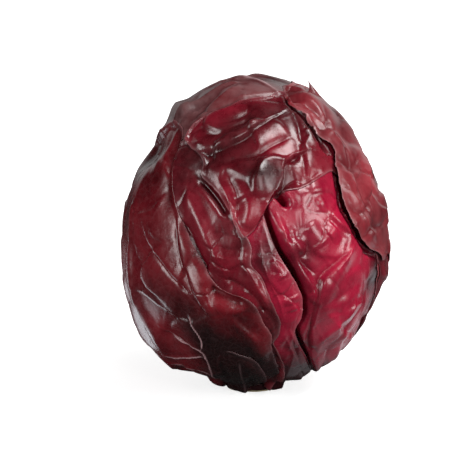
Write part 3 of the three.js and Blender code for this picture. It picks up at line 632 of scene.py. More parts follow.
class WrapperLeaf:
    """One leaf: its chart, its outline, and the folds, creases and ribs on it."""

    grain_seed, panel_seed = 100, 500
    rim_steps = 40
    torn_margin, whole_margin = 0.014, 0.006
    plain_panels, plain_tilt, bulge = 130, 0.08, 0.22
    panel_blend, crease_width, crease_depth = 1.3, 1.4, 0.6
    margin_fade, ruffle_fade, relief_reach = 9.0, 13.0, 14.0
    # Depth of a groove at which its painted shade is full, and height of a rib at which its vein is fully
    # pale.
    full_dark, full_pale = 2.5, 0.7

    def __init__(self, name, number):
        spec = LEAVES[name]
        self.name, self.number, self.spec = name, number, spec
        self.chart = LeafChart(spec["middle"])
        self.root = directions(spec["root"])[0]
        self.noise = GrainNoise(self.grain_seed + number)
        outline = self.chart.flat(directions(spec["outline"]))
        self.rim = self.ragged(curve_through(outline, self.rim_steps, closed=True))
        bearing = np.arctan2(self.rim[:, 1], self.rim[:, 0])
        order = np.argsort(bearing)
        self.rim_bearing, self.rim_reach = bearing[order], np.linalg.norm(self.rim, axis=1)[order]
        self.folds = [FoldLine(*fold) for fold in spec.get("folds", [])]
        self.ribs = [FoldLine("round", *rib) for rib in spec.get("ribs", [])] + self.vein_lines()
        chance = np.random.default_rng(self.panel_seed + number)
        self.panels = self.panel_seeds(chance)
        self.tilts = chance.normal(scale=spec.get("tilt", self.plain_tilt), size=self.panels.shape)
        self.bulges = chance.normal(scale=self.bulge, size=len(self.panels))

    def ragged(self, rim):
        """The outline with the small nicks and waves of a real margin."""
        way = self.chart.lift(rim)
        rough = self.torn_margin if self.spec["finish"] == "dusty" else self.whole_margin
        push = self.noise(way * 16) * rough + self.noise(way * 45 + 7) * rough * 0.5
        return rim * (1 + push[:, None])

    def vein_lines(self):
        """Midrib and side veins that fan out from the leaf's root."""
        strength = self.spec["veins"]
        chart = self.chart
        root = chart.flat(self.root[None])[0]
        back = math.atan2(root[1], root[0])
        lines = []

        def add(height, width, spots):
            way = chart.lift(np.array(spots))
            lon = np.degrees(np.arctan2(way[:, 0], -way[:, 1]))
            lat = np.degrees(np.arcsin(way[:, 2]))
            lines.append(FoldLine("round", strength * height, width, np.stack([lon, lat], -1)))

        def edge(bearing):
            spot = (bearing + math.pi) % (2 * math.pi) - math.pi
            return np.interp(spot, self.rim_bearing, self.rim_reach, period=2 * math.pi)

        tip = back + math.pi
        far = edge(tip) * 0.93
        midrib = [root * share for share in (0.97, 0.7, 0.45, 0.2)]
        ahead = np.array([math.cos(tip), math.sin(tip)])
        midrib += [ahead * far * share for share in (0.05, 0.35, 0.7, 1.0)]
        add(1.2, 1.5, midrib)
        for side in (-1, 1):
            for k, share in enumerate((0.9, 0.72, 0.5, 0.25, -0.08, -0.42)):
                start = root * share if share > 0 else ahead * far * -share
                turn = tip + side * math.radians(112 - 19 * k + 5 * math.sin(3.1 * k + self.number))
                end = np.array([math.cos(turn), math.sin(turn)]) * edge(turn) * 0.9
                bow = (start + end) / 2 + side * 0.05 * np.array([-(end - start)[1], (end - start)[0]])
                add(0.7 - 0.06 * k, 0.9, [start, bow * 0.96 + start * 0.04, end])
        return lines

    def pressed(self, way):
        """How far the margin is pressed down flush on the leaf under it, from 0 to 1."""
        share = np.zeros(len(way))
        for lon, lat, reach in self.spec.get("flush", []):
            share = np.maximum(share, 1 - smoothstep(degrees_from(way, lon, lat), 0.6 * reach, reach))
        return share

    def panel_seeds(self, chance):
        """Scattered directions, the middles of the blistered panels between small veins."""
        count = self.spec.get("panels", self.plain_panels)
        i = np.arange(count) + 0.5
        up = 1 - 2 * i / count
        around = math.pi * (1 + 5**0.5) * i
        flat = np.sqrt(1 - up * up)
        seeds = np.stack([flat * np.cos(around), flat * np.sin(around), up], -1)
        seeds += chance.normal(scale=0.63 / count**0.5, size=seeds.shape)
        return seeds / np.linalg.norm(seeds, axis=1, keepdims=True)

    def place(self, way, radius):
        """Bearing of each direction, and its distance inside the margin in millimetres."""
        spot = self.chart.flat(way)
        bearing = np.arctan2(spot[:, 1], spot[:, 0])
        reach = np.interp(bearing, self.rim_bearing, self.rim_reach, period=2 * math.pi)
        return bearing, (reach - np.linalg.norm(spot, axis=1)) * radius

    def crumple(self, way):
        """Blisters and creases between the drawn folds, in millimetres, and a mask of the creases that
        paints shade into them.
        """
        bent = warped(way, self.noise, 0.07, 4.5, 19)
        bent /= np.linalg.norm(bent, axis=1, keepdims=True)
        nearness = bent.astype(np.float32) @ self.panels.T.astype(np.float32)
        nearest = np.argpartition(-nearness, 3, axis=1)[:, :3]
        apart = np.arccos(np.clip(np.take_along_axis(nearness, nearest, axis=1), -1, 1)) * MEAN_RADIUS
        closest = apart.min(axis=1, keepdims=True)
        weight = np.exp(-(apart - closest) / self.panel_blend)
        weight /= weight.sum(axis=1, keepdims=True)
        off = (bent[:, None] - self.panels[nearest]) * MEAN_RADIUS
        lean = np.einsum("nkc,nkc->nk", self.tilts[nearest], off)
        facets = np.sum(weight * (lean + self.bulges[nearest]), axis=1)
        crease = np.exp(-(np.sort(apart, axis=1)[:, 1] - closest[:, 0]) / self.crease_width)
        fade = smoothstep(self.noise(way * 4 + 31), -0.4, 0.3)
        swell = 1.2 * self.noise(way * 2.4 + 3) + 0.4 * self.noise(way * 5.5 + 11)
        fine = 0.06 * self.noise(way * 20 + 5) + 0.016 * self.noise(way * 46 + 9)
        height = swell + facets + fine - self.crease_depth * crease * fade
        return height * self.spec["crumple"], crease * fade

    def relief(self, way, radius, place, free):
        """Height of folds, ribs and waves, and the marks that colour the leaf: pale veins, and painted shade
        in grooves and creases.
        """
        bearing, inside = place
        depth = np.maximum(inside, 0)
        spec = self.spec
        waves = spec["swell"] + spec["margin"] * np.exp(-depth / self.margin_fade)
        ruffle = spec["ruffle"] * np.exp(-depth / self.ruffle_fade)
        waves = waves + ruffle * np.sin(spec["waves"] * bearing)
        folds = np.zeros(len(way))
        vein = np.zeros(len(way))
        crease = np.zeros(len(way))
        work = np.nonzero((free > 0.001) & (inside > -self.relief_reach))[0]
        if len(work):
            spot, size = way[work], radius[work]
            drawn = np.zeros(len(work))
            dark = np.zeros(len(work))
            for fold in self.folds:
                share = fold.apply(spot, size)
                drawn += fold.height * share
                # Grooves get painted shade, fuller the deeper they are.
                if fold.height < 0:
                    dark = np.maximum(dark, share * min(1, -fold.height / self.full_dark))
            pale = np.zeros(len(work))
            for rib in self.ribs:
                share = rib.apply(spot, size)
                drawn += rib.height * share
                pale = np.maximum(pale, share * min(1, rib.height / self.full_pale))
            rough, lines = self.crumple(spot)
            folds[work] = drawn + rough
            # Painted shade in the drawn grooves and in the crumple's creases.
            vein[work], crease[work] = pale, np.maximum(dark, self.crease_depth * lines)
        return waves * free, folds * free, vein * free, crease * free


def cover_of(later, way):
    """How far inside the outermost of the later leaves each direction lies."""
    return np.max(later or [np.full(len(way), UNCOVERED)], axis=0)


class CabbageHead:
    """The whole stack of leaves over the heart. Lengths are millimetres, from the head's middle."""

    blend = 1.2
    drape = 0.55
    free_reach = 6.0
    rib_fade = 22.0
    thin_margin, margin_width = 0.28, 5.0
    trough_height, trough_width = -4, 7

    def __init__(self, sizes):
        self.half = sizes.width / MM / 2
        self.crown = (sizes.height - sizes.widest_at) / MM
        self.under = (sizes.widest_at - sizes.underside) / MM
        self.middle = np.array([0, 0, sizes.widest_at / MM])
        self.blade, self.rib, self.gap = sizes.blade / MM, sizes.rib / MM, sizes.gap / MM
        self.heart_depth = sizes.heart_depth / MM
        self.leaves = [WrapperLeaf(name, number) for number, name in enumerate(LEAVES)]
        self.heart_trough = FoldLine("round", self.trough_height, self.trough_width, OPEN_FOLD)

    def form(self, way):
        """Radius of the head's plain outer form."""
        tall = np.where(way[:, 2] >= 0, self.crown, self.under)
        across = (way[:, 0] ** 2 + way[:, 1] ** 2) / self.half**2
        return 1 / np.sqrt(across + (way[:, 2] / tall) ** 2)

    def heart(self, way):
        """Radius of the heart, with its lumps and the trough under the open fold."""
        radius = self.form(way) - self.heart_depth
        lumps = 0.8 * np.sin(5 * way[:, 0] + 3 * way[:, 2]) * np.cos(6 * way[:, 1] - 2 * way[:, 2])
        return radius + self.trough_height * self.heart_trough.apply(way, radius) + lumps

    def thickness(self, leaf, way, radius, inside):
        """Blade thickness: thick at the root, thin along the margin."""
        from_root = np.arccos(np.clip(way @ leaf.root, -1, 1)) * radius
        full = self.blade + self.rib * np.exp(-from_root / self.rib_fade)
        edge = self.thin_margin + (1 - self.thin_margin) * smoothstep(inside, 0, self.margin_width)
        pressed = leaf.pressed(way) * (1 - smoothstep(inside, -4, 14))
        return full * edge * (1 - 0.9 * pressed)

    def stack(self, way, radius):
        """Place, relief, freedom and sunken folds of every leaf along each direction."""
        places = [leaf.place(way, radius) for leaf in self.leaves]
        reliefs, frees, sinks = [], [], []
        for n, leaf in enumerate(self.leaves):
            later = [inside for _, inside in places[n + 1 :]]
            free = 1 - smoothstep(cover_of(later, way), 0, self.free_reach)
            relief = leaf.relief(way, radius, places[n], free)
            frees.append(free)
            reliefs.append(relief)
            sinks.append(np.minimum(relief[1], 0) * smoothstep(places[n][1], 0.5, 4))
        return places, reliefs, frees, sinks

    def sunken_heart(self, way):
        """Height of the heart, pressed in under the leaves' grooves."""
        return self.heart(way) + np.sum(self.stack(way, self.form(way))[3], axis=0)

    def blade_at(self, number, way):
        """Underside, thickness and marks of one leaf along each direction."""
        radius = self.form(way)
        places, reliefs, frees, sinks = self.stack(way, radius)
        sink = np.sum(sinks, axis=0)
        holds = [self.heart(way) + sink]
        for n, leaf in enumerate(self.leaves[: number + 1]):
            sink = sink - sinks[n]
            waves, folds, vein, crease = reliefs[n]
            under = radius - self.blade + leaf.spec["level"] + waves + folds + sink
            gap = self.gap * (1 - 0.8 * leaf.pressed(way))
            for hold in holds:
                under = soft_max(under, hold + gap, self.blend)
            thick = self.thickness(leaf, way, radius, places[n][1])
            holds.append(under + thick + self.drape * np.minimum(places[n][1], 0))
        bare = frees[number] * (1 - self.leaves[number].pressed(way))
        marks = {"vein": vein, "crease": crease, "free": bare, "inside": places[number][1]}
        return under, thick, marks


# Meshes


def mesh_object(name, points, faces, marks=None):
    """A smooth mesh object in metres, with one colour attribute of marks."""
    mesh = bpy.data.meshes.new(name)
    mesh.from_pydata((points * MM).tolist(), [], faces)
    mesh.polygons.foreach_set("use_smooth", np.ones(len(mesh.polygons), bool))
    if marks is not None:
        layer = mesh.attributes.new("marks", "FLOAT_COLOR", "POINT")
        layer.data.foreach_set("color", np.ascontiguousarray(marks, np.float32).ravel())
    mesh.update()
    piece = bpy.data.objects.new(name, mesh)
    bpy.context.scene.collection.objects.link(piece)
    return piece


def loop_faces(first, second, count):
    """Faces between two rings of points, each given by the number of its first point."""
    around = [(i, (i + 1) % count) for i in range(count)]
    return [(first + i, first + j, second + j, second + i) for i, j in around]


def fan_faces(ring, tip, count):
    """Faces from a ring of points to one point."""
    return [(ring + i, ring + (i + 1) % count, tip) for i in range(count)]


def stand_for(piece, node, material):
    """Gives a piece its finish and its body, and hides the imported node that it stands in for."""
    piece.data.materials.append(material)
    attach(piece, "root")
    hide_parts(node)


def sliver(head, number, start):
    """A thin spur torn up from a leaf's margin: points, faces and marks."""
    spec = head.leaves[number].spec["sliver"]
    way = directions([spec["from"], spec["to"]])
    under, _, _ = head.blade_at(number, way)
    foot = way * (under - 0.5)[:, None] + head.middle
    middle, half = foot.mean(axis=0), (foot[1] - foot[0]) / 2
    tip = middle + np.array(spec["rise"])
    out = way.mean(axis=0)
    steps = 12
    points = []
    for i in range(steps):
        t = i / (steps - 1)
        spot = middle + (tip - middle) * t + out * 1.2 * math.sin(math.pi * t) * (1 - t)
        wide = half * max((1 - t) ** 1.3, 0.03)
        deep = 0.3 * out * max(1 - t, 0.15)
        points += [spot - wide - deep, spot + wide - deep, spot + wide + deep, spot - wide + deep]
    faces = [tuple(start + k for k in (3, 2, 1, 0)), tuple(start + 4 * steps - 4 + k for k in range(4))]
    for i in range(steps - 1):
        faces += loop_faces(start + 4 * i, start + 4 * i + 4, 4)
    # The spur's marks give it some painted rim highlight, some painted crease shade and a darker tone.
    return np.array(points), faces, np.tile([0, 0.3, 0.2, 0.35], (len(points), 1))


def bare_edge(head, number, sectors):
    """A leaf's margin on its chart, in steps that are shorter where no later leaf covers it."""
    leaf = head.leaves[number]
    way = leaf.chart.lift(leaf.rim)
    radius = head.form(way)
    later = [other.place(way, radius)[1] for other in head.leaves[number + 1 :]]
    bare = 1 - smoothstep(cover_of(later, way), -4, 8)
    spot = way * radius[:, None]
    step = np.linalg.norm(np.roll(spot, -1, axis=0) - spot, axis=1) * (1 + BARE_CROWDING * bare)
    walk = np.concatenate([[0], np.cumsum(step)])
    at = np.interp(np.linspace(0, walk[-1], sectors, endpoint=False), walk, np.arange(len(walk)))
    closed = np.concatenate([leaf.rim, leaf.rim[:1]])
    return np.stack([np.interp(at, np.arange(len(closed)), closed[:, k]) for k in range(2)], -1)


def blade_marks(leaf, way, marks):
    """Vein, painted rim highlight, painted crease shade, and tone with its patches of painted shade and
    light, at each point of a blade.
    """
    # A painted highlight along the bare margin: the rim mark turns it pale.
    rim = np.exp(-np.maximum(marks["inside"], 0) / RIM_HIGHLIGHT_WIDTH) * marks["free"]
    tone_and_shade = 0.5 + 0.4 * leaf.noise(way * 3 + 41)
    # Patches of the leaf's own tone, painted shade and painted light.
    for lon, lat, reach, amount in leaf.spec.get("tone_and_shade_patches", []):
        tone_and_shade += amount * np.exp(-((degrees_from(way, lon, lat) / reach) ** 2))
    return np.stack([marks["vein"], rim, marks["crease"], tone_and_shade], -1)


def blade_faces(sectors, rings, outward):
    """Faces of a blade: its outer side, its underside and the lip between them."""
    count = 1 + rings * sectors

    def number_of(ring, i):
        return 1 + ring * sectors + i % sectors

    faces = []
    for i in range(sectors):
        side = [(0, number_of(0, i), number_of(0, i + 1))]
        side += [
            (number_of(r, i), number_of(r + 1, i), number_of(r + 1, i + 1), number_of(r, i + 1))
            for r in range(rings - 1)
        ]
        for face in side:
            faces += [face, tuple(count + v for v in reversed(face))]
        a, b = number_of(rings - 1, i), number_of(rings - 1, i + 1)
        c, d = 2 * count + i, 2 * count + (i + 1) % sectors
        faces += [(a, c, d, b), (c, count + a, count + b, d)]
    return faces if outward else [face[::-1] for face in faces]


def leaf_mesh(head, number, sectors, rings):
    """The closed blade of one leaf, finer where it is uncovered."""
    leaf = head.leaves[number]
    edge = bare_edge(head, number, sectors)
    shares = (np.arange(1, rings + 1) / rings) ** ROW_POWER
    spots = np.concatenate([[[0.0, 0.0]], (shares[:, None, None] * edge[None]).reshape(-1, 2)])
    way = leaf.chart.lift(spots)
    under, thick, marks = head.blade_at(number, way)
    last = slice(len(way) - sectors, len(way))
    wider = 1 + LIP_WIDTH / MEAN_RADIUS / np.linalg.norm(edge, axis=1, keepdims=True)
    brink = leaf.chart.lift(edge * wider) * (under + 0.5 * thick)[last, None]
    points = np.concatenate([way * (under + thick)[:, None], way * under[:, None], brink]) + head.middle
    mark = blade_marks(leaf, way, marks)
    mark = np.concatenate([mark, mark, mark[last]])
    faces = blade_faces(sectors, rings, np.cross(edge[0], edge[sectors // 8]) > 0)
    if "sliver" in leaf.spec:
        spur, sides, tones = sliver(head, number, len(points))
        points, mark = np.concatenate([points, spur]), np.concatenate([mark, tones])
        faces += sides
    return mesh_object(leaf.name + "_blade", points, faces, mark)


# Materials


def socket(group, name, kind, direction, default=None):
    """Adds one named socket to a node group."""
    made = group.interface.new_socket(name=name, in_out=direction, socket_type=kind)
    if default is not None:
        made.default_value = default


class NodeBench:
    """Short ways to add and join nodes in one tree."""

    def __init__(self, tree):
        self.tree = tree

    def node(self, kind, inputs=None, **settings):
        made = self.tree.nodes.new(kind)
        for key, value in settings.items():
            setattr(made, key, value)
        for key, value in (inputs or {}).items():
            if isinstance(value, bpy.types.NodeSocket):
                self.tree.links.new(value, made.inputs[key])
            else:
                made.inputs[key].default_value = value
        return made

    def math(self, operation, a, b=0.0, clamp=False):
        return self.node("ShaderNodeMath", {0: a, 1: b}, operation=operation, use_clamp=clamp).outputs[0]

    def mix(self, factor, a, b, blend="MIX"):
        inputs = {0: factor, 6: a, 7: b}
        return self.node("ShaderNodeMix", inputs, data_type="RGBA", blend_type=blend).outputs[2]

    def ramp(self, value, low, high):
        return self.node(
            "ShaderNodeMapRange", {"Value": value, "From Min": low, "From Max": high},
            interpolation_type="SMOOTHSTEP").outputs[0]

    def noise(self, where, scale, detail=3.0, rough=0.55):
        return self.node(
            "ShaderNodeTexNoise", {"Vector": where, "Scale": scale, "Detail": detail, "Roughness": rough}
        ).outputs["Fac"]


def fresh_material(name):
    """A new node material, with a bench for its nodes and its shader's inputs."""
    material = bpy.data.materials.new(name)
    material.use_nodes = True
    tree = material.node_tree
    return material, NodeBench(tree), tree.nodes["Principled BSDF"].inputs


def leaf_skin_group():
    """Colour, roughness and fine height of a waxy leaf, from the marks on its mesh, with painted shade in
    creases and a painted highlight along bare rims.
    """
    name = "Leaf skin"
    if name in bpy.data.node_groups:
        return bpy.data.node_groups[name]
    group = bpy.data.node_groups.new(name, "ShaderNodeTree")
    for label, default in (("Deep", (0.05, 0, 0.01, 1)), ("Bright", (0.4, 0.01, 0.05, 1)),
                           ("Vein", (0.6, 0.4, 0.4, 1)), ("Bloom", (0.4, 0.3, 0.3, 1))):
        socket(group, label, "NodeSocketColor", "INPUT", default)
    for label, default in (("Bloom amount", 0.2), ("Gloss roughness", 0.32), ("Vein amount", 0.5)):
        socket(group, label, "NodeSocketFloat", "INPUT", default)
    socket(group, "Colour", "NodeSocketColor", "OUTPUT")
    socket(group, "Roughness", "NodeSocketFloat", "OUTPUT")
    socket(group, "Height", "NodeSocketFloat", "OUTPUT")
    b = NodeBench(group)
    given = b.node("NodeGroupInput").outputs
    where = b.node("ShaderNodeTexCoord").outputs["Object"]
    marks = b.node("ShaderNodeAttribute", attribute_name="marks")
    parts = b.node("ShaderNodeSeparateColor", {"Color": marks.outputs["Color"]}).outputs
    vein, rim, crease, tone_and_shade = parts[0], parts[1], parts[2], marks.outputs["Alpha"]

    cloud_scale, mottle_scale, speck_scale, warp_scale, net_scale = 38.0, 160.0, 750.0, 90.0, 240.0
    cloud = b.noise(where, cloud_scale, 4.0)
    mottle = b.noise(where, mottle_scale, 5.0, 0.65)
    speck = b.noise(where, speck_scale, 2.0)
    blend = b.math("ADD", tone_and_shade, b.math("MULTIPLY", b.math("SUBTRACT", cloud, 0.5), 0.7))
    blend = b.math("ADD", blend, b.math("MULTIPLY", b.math("SUBTRACT", mottle, 0.5), 0.5))
    # The tone, with its patches of painted shade and light, picks the colour between the deep and the bright
    # one.
    colour = b.mix(b.ramp(blend, -0.1, 1.1), given["Deep"], given["Bright"])

    warp = b.node("ShaderNodeTexNoise", {"Vector": where, "Scale": warp_scale}).outputs["Color"]
    shift = b.node("ShaderNodeVectorMath", {0: warp}, operation="SCALE")
    shift.inputs["Scale"].default_value = 0.012
    bent = b.node("ShaderNodeVectorMath", {0: where, 1: shift.outputs[0]}).outputs[0]
    net = b.node("ShaderNodeTexVoronoi", {"Vector": bent, "Scale": net_scale}, feature="DISTANCE_TO_EDGE")
    thread = b.math("SUBTRACT", 1.0, b.ramp(net.outputs["Distance"], 0.0, 0.12))
    thread = b.math("MULTIPLY", thread, b.math("MULTIPLY", given["Vein amount"], 0.025))
    ribbed = b.math("MULTIPLY", b.ramp(vein, 0.35, 1.0), given["Vein amount"])
    # The rim mark paints a pale highlight along bare margins; the threads and ribs are the leaf's own pale
    # veins.
    pale = b.math("MAXIMUM", b.math("MAXIMUM", thread, ribbed), b.math("MULTIPLY", rim, 0.16), clamp=True)
    colour = b.mix(pale, colour, given["Vein"])
    waxy = b.math("MULTIPLY", b.ramp(b.math("ADD", cloud, b.math("MULTIPLY", mottle, 0.4)), 0.5, 1.0),
                  given["Bloom amount"])
    colour = b.mix(waxy, colour, given["Bloom"])
    # Painted shade: the crease marks darken the colour in creases and grooves.
    dark = b.math("MULTIPLY", crease, 0.75)
    colour = b.mix(dark, colour, b.mix(1.0, colour, (0.35, 0.22, 0.25, 1), "MULTIPLY"))

    dull = b.math("MULTIPLY", b.math("SUBTRACT", mottle, 0.5), 0.22)
    rough = b.math("ADD", given["Gloss roughness"], dull)
    rough = b.math("ADD", rough, b.math("MULTIPLY", waxy, 0.35), clamp=True)
    grain = b.math("ADD", b.math("MULTIPLY", mottle, 0.4), b.math("MULTIPLY", speck, 0.2))
    grain = b.math("ADD", grain, b.math("MULTIPLY", thread, 1.5))
    b.node("NodeGroupOutput", {"Colour": colour, "Roughness": rough, "Height": grain})
    return group


def leaf_material(name, deep, bright, colours, bloom, roughness, veins):
    """A glossy leaf skin between a deep and a bright colour."""
    material, b, shader = fresh_material(name)
    shades = {"Deep": deep, "Bright": bright, "Vein": colours.vein, "Bloom": colours.bloom}
    looks = {label: (*shade, 1) for label, shade in shades.items()}
    looks.update({"Bloom amount": bloom, "Gloss roughness": roughness, "Vein amount": veins})
    skin = b.node("ShaderNodeGroup", looks, node_tree=leaf_skin_group())
    bump = b.node("ShaderNodeBump", {"Height": skin.outputs["Height"], "Strength": 0.35, "Distance": 0.0007})
    b.tree.links.new(skin.outputs["Colour"], shader["Base Color"])
    b.tree.links.new(skin.outputs["Roughness"], shader["Roughness"])
    b.tree.links.new(bump.outputs["Normal"], shader["Normal"])
    return material


def leaf_finish(finish, colours):
    """The material of one kind of leaf, made once."""
    name = "Leaf " + finish.replace("_", " ")
    if name in bpy.data.materials:
        return bpy.data.materials[name]
    crimson, burgundy, dusty = (np.array(c) for c in (colours.crimson, colours.burgundy, colours.dusty))
    # Deep colour, bright colour, bloom, roughness and strength of the pale veins
    recipes = {
        "crimson": (crimson * 0.12, crimson * 1.9, 0.03, 0.27, 0.3),
        "crimson_dark": (burgundy * 0.2, crimson * [1.2, 1.4, 1.0], 0.06, 0.27, 0.25),
        "burgundy": (burgundy * 0.12, burgundy * 2.0, 0.03, 0.27, 0.9),
        "weathered": (burgundy * 0.15, burgundy * 1.25, 0.48, 0.30, 0.7),
        "dusty": (dusty * 0.25, dusty * 1.7, 0.12, 0.34, 0.5),
    }
    deep, bright, bloom, roughness, veins = recipes[finish]
    return leaf_material(name, deep, bright, colours, bloom, roughness, veins)


def stalk_material(colours):
    """Cream flesh with fibres up the sides, a ring of vessels on the cut face, and near-black red skin up
    the sides above the cut face.
    """
    material, b, shader = fresh_material("Stalk flesh")
    vessel_ring, ring_width = 0.0115, 0.0014
    where = b.node("ShaderNodeTexCoord").outputs["Object"]
    x, y, z = b.node("ShaderNodeSeparateXYZ", {"Vector": where}).outputs
    out = b.math("SQRT", b.math("ADD", b.math("MULTIPLY", x, x), b.math("MULTIPLY", y, y)))
    cloud = b.noise(where, 120.0, 4.0)
    stretch = b.node("ShaderNodeMapping", {"Vector": where, "Scale": (1.0, 1.0, 0.12)}).outputs[0]
    fibre = b.noise(stretch, 900.0, 3.0)
    off_ring = b.math("ABSOLUTE", b.math("SUBTRACT", out, vessel_ring))
    ring = b.math("SUBTRACT", 1.0, b.ramp(off_ring, 0.0, ring_width))
    skin = b.ramp(z, 0.0006, 0.0016)
    flesh = (*colours.stalk, 1)
    colour = b.mix(b.ramp(cloud, 0.3, 0.8), flesh, (0.60, 0.48, 0.25, 1))
    colour = b.mix(b.math("MULTIPLY", ring, 0.5), colour, (0.46, 0.44, 0.18, 1))
    colour = b.mix(b.math("MULTIPLY", b.ramp(fibre, 0.45, 0.75), 0.5), colour, (0.38, 0.27, 0.13, 1))
    # Above the cut face the sides turn near-black red.
    colour = b.mix(skin, colour, b.mix(fibre, (0.020, 0.002, 0.004, 1), (0.075, 0.008, 0.012, 1)))
    rough = b.math("ADD", 0.55, b.math("MULTIPLY", cloud, 0.25))
    bump = b.node("ShaderNodeBump", {"Height": fibre, "Strength": 0.4, "Distance": 0.0006})
    b.tree.links.new(colour, shader["Base Color"])
    b.tree.links.new(rough, shader["Roughness"])
    b.tree.links.new(bump.outputs["Normal"], shader["Normal"])
    return material


# The stalk's form


def stalk_profile(foot):
    """Half-width and height up the stalk, from its dished cut face to the tip of its core."""
    face = [(0, 0.25), (0.35 * foot, 0.2), (0.7 * foot, 0.1)]
    narrowing = [
        (0.9, 0.0), (0.25, 0.35), (0, 1.2), (0.1, 4), (0.35, 7), (0.9, 10), (1.5, 13), (2.4, 22), (3.5, 33),
        (5.4, 44), (7.5, 54.5), (9.6, 63), (12, 71.5),
    ]
    tip = [(1.5, 76.5), (0, STALK_TOP)]
    return np.array(face + [(foot - less, up) for less, up in narrowing] + tip, float)


def stalk_ring(across, up, around, noise):
    """One level of the stalk, with the stubs of cut leaf stems standing out of it."""
    turn = np.stack([np.cos(around), np.sin(around)], -1)
    spot = np.column_stack([turn, np.full(len(around), up / 18)])
    rough = 0.35 * noise(spot * 2) + 0.18 * noise(spot * [9, 9, 1.5])
    reach = np.maximum(across + np.minimum(rough, 0.1) * min(1, across / 8) - 0.1, 0.05)
    flare = (0.4 + 0.6 * min(up / STUB_FLARE, 1)) * (1 - smoothstep(up, *STUB_TOP))
    for bearing, half, swell, cut in STEM_STUBS:
        off = np.abs((np.degrees(around) - bearing + 180) % 360 - 180) / half
        lobe = np.sqrt(np.maximum(1 - off * off, 0)) * smoothstep(up, cut, cut + 0.4)
        reach = np.maximum(reach, across + swell * lobe * flare)
    return np.column_stack([reach[:, None] * turn, np.full(len(around), max(up, 0))])


# The stage


def lay_floor(scene):
    """A pale floor that glows for the camera alone, so that it throws little light on the leaves."""
    side, low = FLOOR_HALF_SIDE, -FLOOR_DROP
    corners = [(-side, -side, low), (side, -side, low), (side, side, low), (-side, side, low)]
    mesh = bpy.data.meshes.new("floor")
    mesh.from_pydata(corners, [], [(0, 1, 2, 3)])
    floor = bpy.data.objects.new("floor", mesh)
    scene.collection.objects.link(floor)
    paper, b, shader = fresh_material("Floor paper")
    shader["Roughness"].default_value = 0.9
    shader["Specular IOR Level"].default_value = 0.1
    shader["Emission Color"].default_value = (1, 1, 1, 1)
    seen = b.node("ShaderNodeLightPath").outputs["Is Camera Ray"]
    spot = b.node("ShaderNodeTexCoord").outputs["Object"]
    away = b.node("ShaderNodeVectorMath", {0: spot}, operation="LENGTH").outputs["Value"]
    # The camera sees the floor glow more weakly near the head, where its shadow shows, and more strongly
    # further out.
    glow = b.math("ADD", 0.7, b.math("MULTIPLY", b.ramp(away, 0.06, 0.25), 0.5))
    tint = b.mix(seen, (0.08, 0.08, 0.08, 1), (*scene.cabbage.colours.floor, 1))
    b.tree.links.new(b.math("MULTIPLY", glow, seen), shader["Emission Strength"])
    b.tree.links.new(tint, shader["Base Color"])
    mesh.materials.append(paper)


def hang_backdrop(scene):
    """A white world for the camera, which lights the leaves only faintly."""
    faint = 0.02
    world = bpy.data.worlds.new("Studio")
    world.use_nodes = True
    b = NodeBench(world.node_tree)
    sky = world.node_tree.nodes["Background"].inputs
    sky["Color"].default_value = (1, 1, 1, 1)
    seen = b.node("ShaderNodeLightPath").outputs["Is Camera Ray"]
    strength = b.math("ADD", faint, b.math("MULTIPLY", seen, 1 - faint))
    b.tree.links.new(strength, sky["Strength"])
    scene.world = world
    scene.view_settings.view_transform = "Standard"


def light_studio(scene):
    """Softboxes round the head, and low panels for the light that the table throws back."""
    for name, azimuth, elevation, distance, size, power in SOFTBOXES:
        back = directions([azimuth, elevation])[0]
        lamp = bpy.data.lights.new(name, "AREA")
        lamp.shape, lamp.size, lamp.energy = "SQUARE", size, power
        box = bpy.data.objects.new(name, lamp)
        box.location = np.array(LIGHT_AIM) + back * distance
        box.rotation_mode = "QUATERNION"
        box.rotation_quaternion = Vector(back).to_track_quat("Z", "Y")
        scene.collection.objects.link(box)
    for name, place, turn, length, width, power in TABLE_GLOWS:
        glow = bpy.data.lights.new(name, "AREA")
        glow.shape, glow.size, glow.size_y, glow.energy = "RECTANGLE", length, width, power
        glow.color = GLOW_COLOUR
        panel = bpy.data.objects.new(name, glow)
        panel.location = (*place, GLOW_HEIGHT)
        panel.rotation_euler = (math.pi, 0, math.radians(turn))
        panel.visible_camera = False
        scene.collection.objects.link(panel)


def place_camera(scene):
    """The camera at the photograph's viewing angle, with the head as large as it is there."""
    sizes = scene.cabbage.sizes
    tilt = math.radians(CAMERA_TILT)
    ahead = np.array([0, math.cos(tilt), -math.sin(tilt)])
    up = np.array([0, math.sin(tilt), math.cos(tilt)])
    pixel = sizes.width / HEAD_PIXELS
    right_by, up_by = AIM_PIXELS
    target = np.array([right_by * pixel, 0, sizes.widest_at]) + up * up_by * pixel
    lens = bpy.data.cameras.new("camera")
    lens.sensor_width = SENSOR_WIDTH
    lens.lens = SENSOR_WIDTH * CAMERA_DISTANCE / (PHOTO_PIXELS * pixel)
    lens.clip_start, lens.clip_end = 0.05, 20
    camera = bpy.data.objects.new("camera", lens)
    camera.location = target - ahead * CAMERA_DISTANCE
    camera.rotation_euler = (math.pi / 2 - tilt, 0, 0)
    scene.collection.objects.link(camera)
    scene.camera = camera


# Operators


